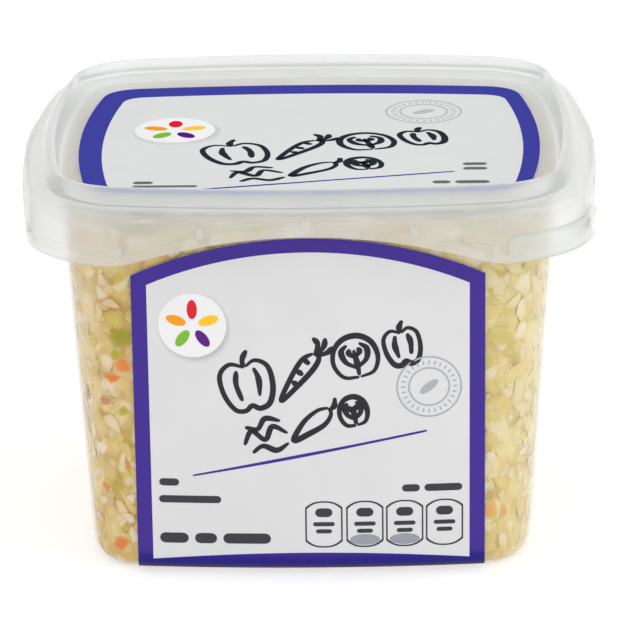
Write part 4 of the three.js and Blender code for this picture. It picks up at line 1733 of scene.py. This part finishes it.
    def _beside_label(self, spots: np.ndarray) -> np.ndarray:
        """Returns which places are in the strips beside the label, where the listed bits are placed."""
        share = spots[:, 0] % 1.0
        inside = np.zeros(len(spots), dtype=bool)
        for strip in self.hand_strips:
            ends = [self.walls.at_bearing(bearing, self.hand_height) / self.walls.perimeter % 1.0
                    for bearing in strip]
            inside |= (share > min(ends)) & (share < max(ends))
        return inside

    def _layers(self, kind: Kind) -> list[tuple[ChipCloud, np.ndarray]]:
        """Returns each layer's pieces of a kind with their vertices."""
        lays = ((self.wall_front, lambda cloud, spots: self._on_wall(cloud, spots, 0.0)),
                (self.wall_back, lambda cloud, spots: self._on_wall(cloud, spots, self.back_layer)),
                (self.top, self._on_top), (self.floor, self._on_floor))
        order = list(Kind).index(kind)
        layers = []
        for spread, lay in lays:
            spots = spread.of_kind(kind)
            if kind.share < self.rare_share and spread in (self.wall_front, self.wall_back):
                spots = spots[~self._beside_label(spots)]
            cloud = ChipCloud(kind, len(spots), np.random.default_rng([spread.seed, order]))
            layers.append((cloud, lay(cloud, spots)))
        shown = [bit for bit in SHOWN_BITS if bit.kind is kind]
        if shown:
            sizes = np.array([[bit.length, bit.width] for bit in shown])
            cloud = ChipCloud(kind, len(shown), np.random.default_rng([1, order]), sizes)
            layers.append((cloud, self._as_shown(cloud, shown)))
        return layers

    def _pieces(self, kind: Kind) -> bpy.types.Object:
        """Builds all pieces of a kind as one mesh."""
        layers = self._layers(kind)
        places, faces, tints = [], [], []
        start = 0
        for cloud, laid in layers:
            spots = laid.reshape(-1, 3)
            triangles = cloud.faces()
            places.append(spots)
            faces.append((triangles[:, ::-1] if inside_out(spots, triangles) else triangles) + start)
            tints.append(cloud.tints())
            start += len(spots)
        flesh = MoistFlesh(kind.title, DRESSING, kind.soak)
        piece = build(kind.title, np.concatenate(places), np.concatenate(faces).tolist(), flesh.make())
        layers[0][0].mark_rims(piece)
        tint = piece.data.color_attributes.new("tint", "FLOAT_COLOR", "POINT")
        tint.data.foreach_set("color", np.concatenate(tints).ravel())
        return piece

    def _core(self) -> bpy.types.Object:
        """Builds the core of dressing and pulp behind the pieces."""
        place = np.linspace(0.0, self.walls.perimeter, self.core_around, endpoint=False)
        turn = self.form.edge_radius
        heights = np.concatenate([np.linspace(self.form.floor + 0.3, turn, 6)[:-1],
                                  np.linspace(turn, self.top_height - 0.4, self.core_levels)])
        rings = []
        for height in heights:
            level = np.full(self.core_around, height)
            spots = self.walls.spot(place, level, np.full_like(level, self.form.wall + self.core_depth))
            wave = np.array([noise.fractal(Vector(spot) * 0.22, 0.9, 2.1, 4) for spot in spots])
            depth = self.form.wall + np.clip(self.core_depth - self.core_relief * wave, -0.02, 0.3)
            rings.append(self.walls.spot(place, level, depth))
        for share in (0.92, 0.75, 0.5, 0.25):
            ring = rings[len(heights) - 1] * (share, share, 1.0)
            ring[:, 2] += [0.8 * noise.noise(Vector(spot) * 0.25) for spot in ring]
            rings.append(ring)
        places, faces = closed_skin(np.stack(rings))
        core = build("slaw_core", places, faces, DRESSING.make())
        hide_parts("slaw")
        return core

    def make(self) -> None:
        """Builds the core and every kind of piece."""
        self._core()
        for kind in Kind:
            self._pieces(kind)


# The studio

@dataclass(frozen=True)
class Softbox:
    """A soft rectangular lamp aimed at the tub."""

    name: str
    place: tuple[float, float, float]
    size: Point
    power: float

    def make(self, aim: Vector) -> None:
        """Adds the lamp.

        Args:
            aim: The point it faces, in metres.
        """
        lamp = bpy.data.lights.new(self.name, "AREA")
        lamp.shape = "RECTANGLE"
        lamp.size, lamp.size_y = self.size
        lamp.energy = self.power
        holder = bpy.data.objects.new(self.name, lamp)
        holder.location = self.place
        holder.rotation_euler = (aim - Vector(self.place)).to_track_quat("-Z", "Y").to_euler()
        bpy.context.scene.collection.objects.link(holder)


@dataclass
class Studio:
    """Floor, soft light and the camera at the photograph's angle."""

    azimuth: float = math.radians(0.8485)
    elevation: float = math.radians(17.753)
    roll: float = math.radians(-0.69)
    distance: float = 0.82198
    aim: tuple[float, float, float] = (-0.000134, 0.0, 0.036629)
    focal_pixels: float = 4403.4
    frame_pixels: float = 622.0
    sensor: float = 36.0
    world_light: float = 1.0
    lamps: tuple[Softbox, ...] = (
        Softbox("key_right", (0.75, -0.6, 0.55), (0.3, 0.7), 1.4),
        Softbox("fill_left", (-0.8, -0.5, 0.45), (0.25, 0.6), 0.2),
        Softbox("overhead", (0.0, 0.1, 1.1), (1.0, 1.0), 0.6),
        Softbox("side_right", (1.0, -0.2, 0.35), (0.5, 0.6), 1.4),
    )

    def make(self) -> None:
        """Builds floor, world, lamps and camera."""
        self._floor()
        world = bpy.data.worlds.new("studio")
        world.use_nodes = True
        backdrop = world.node_tree.nodes["Background"]
        backdrop.inputs["Color"].default_value = (1.0, 1.0, 1.0, 1.0)
        backdrop.inputs["Strength"].default_value = self.world_light
        bpy.context.scene.world = world
        aim = Vector(self.aim)
        for lamp in self.lamps:
            lamp.make(aim)
        self._camera(aim)
        settings = bpy.context.scene.view_settings
        settings.view_transform = "Standard"

    def _floor(self) -> None:
        """Lays the pale floor."""
        size, low = 6.0, -0.02 * MM
        mesh = bpy.data.meshes.new("floor")
        mesh.from_pydata([(-size, -size, low), (size, -size, low), (size, size, low), (-size, size, low)], [],
                         [(0, 1, 2, 3)])
        paint = Paint("pale_floor")
        skin = paint.node("BsdfPrincipled", Roughness=0.9)
        tone = paint.ramp(paint.noise(3.0), ((0.3, linear(187, 187, 187)), (0.7, linear(189, 189, 189))))
        paint.link(tone, skin.inputs["Base Color"])
        skin.inputs["Emission Color"].default_value = (1.0, 1.0, 1.0, 1.0)
        skin.inputs["Emission Strength"].default_value = 0.56
        paint.link(skin.outputs[0], paint.output.inputs["Surface"])
        mesh.materials.append(paint.material)
        floor = bpy.data.objects.new("floor", mesh)
        bpy.context.scene.collection.objects.link(floor)

    def _camera(self, aim: Vector) -> None:
        """Places the camera at the photograph's angle."""
        lens = bpy.data.cameras.new("camera")
        lens.sensor_fit = "HORIZONTAL"
        lens.sensor_width = self.sensor
        lens.lens = self.sensor * self.focal_pixels / self.frame_pixels
        lens.clip_start = 0.05
        lens.clip_end = 50.0
        camera = bpy.data.objects.new("camera", lens)
        towards = Vector((-math.sin(self.azimuth) * math.cos(self.elevation),
                          math.cos(self.azimuth) * math.cos(self.elevation), -math.sin(self.elevation)))
        camera.location = aim - towards * self.distance
        look = towards.to_track_quat("-Z", "Y").to_matrix()
        camera.rotation_euler = (look @ Matrix.Rotation(self.roll, 3, "Z")).to_euler()
        bpy.context.scene.collection.objects.link(camera)
        bpy.context.scene.camera = camera


def main() -> None:
    """Builds the studio and every sub-assembly in order."""
    logging.basicConfig(level=logging.INFO, format="%(name)s %(message)s")
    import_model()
    form = TubForm()
    Studio().make()
    Tub(form).make()
    Lid().make()
    FrontLabel(form).make()
    LidLabel().make()
    Slaw(form, WallMap(form)).make()


if __name__ == "__main__":
    main()
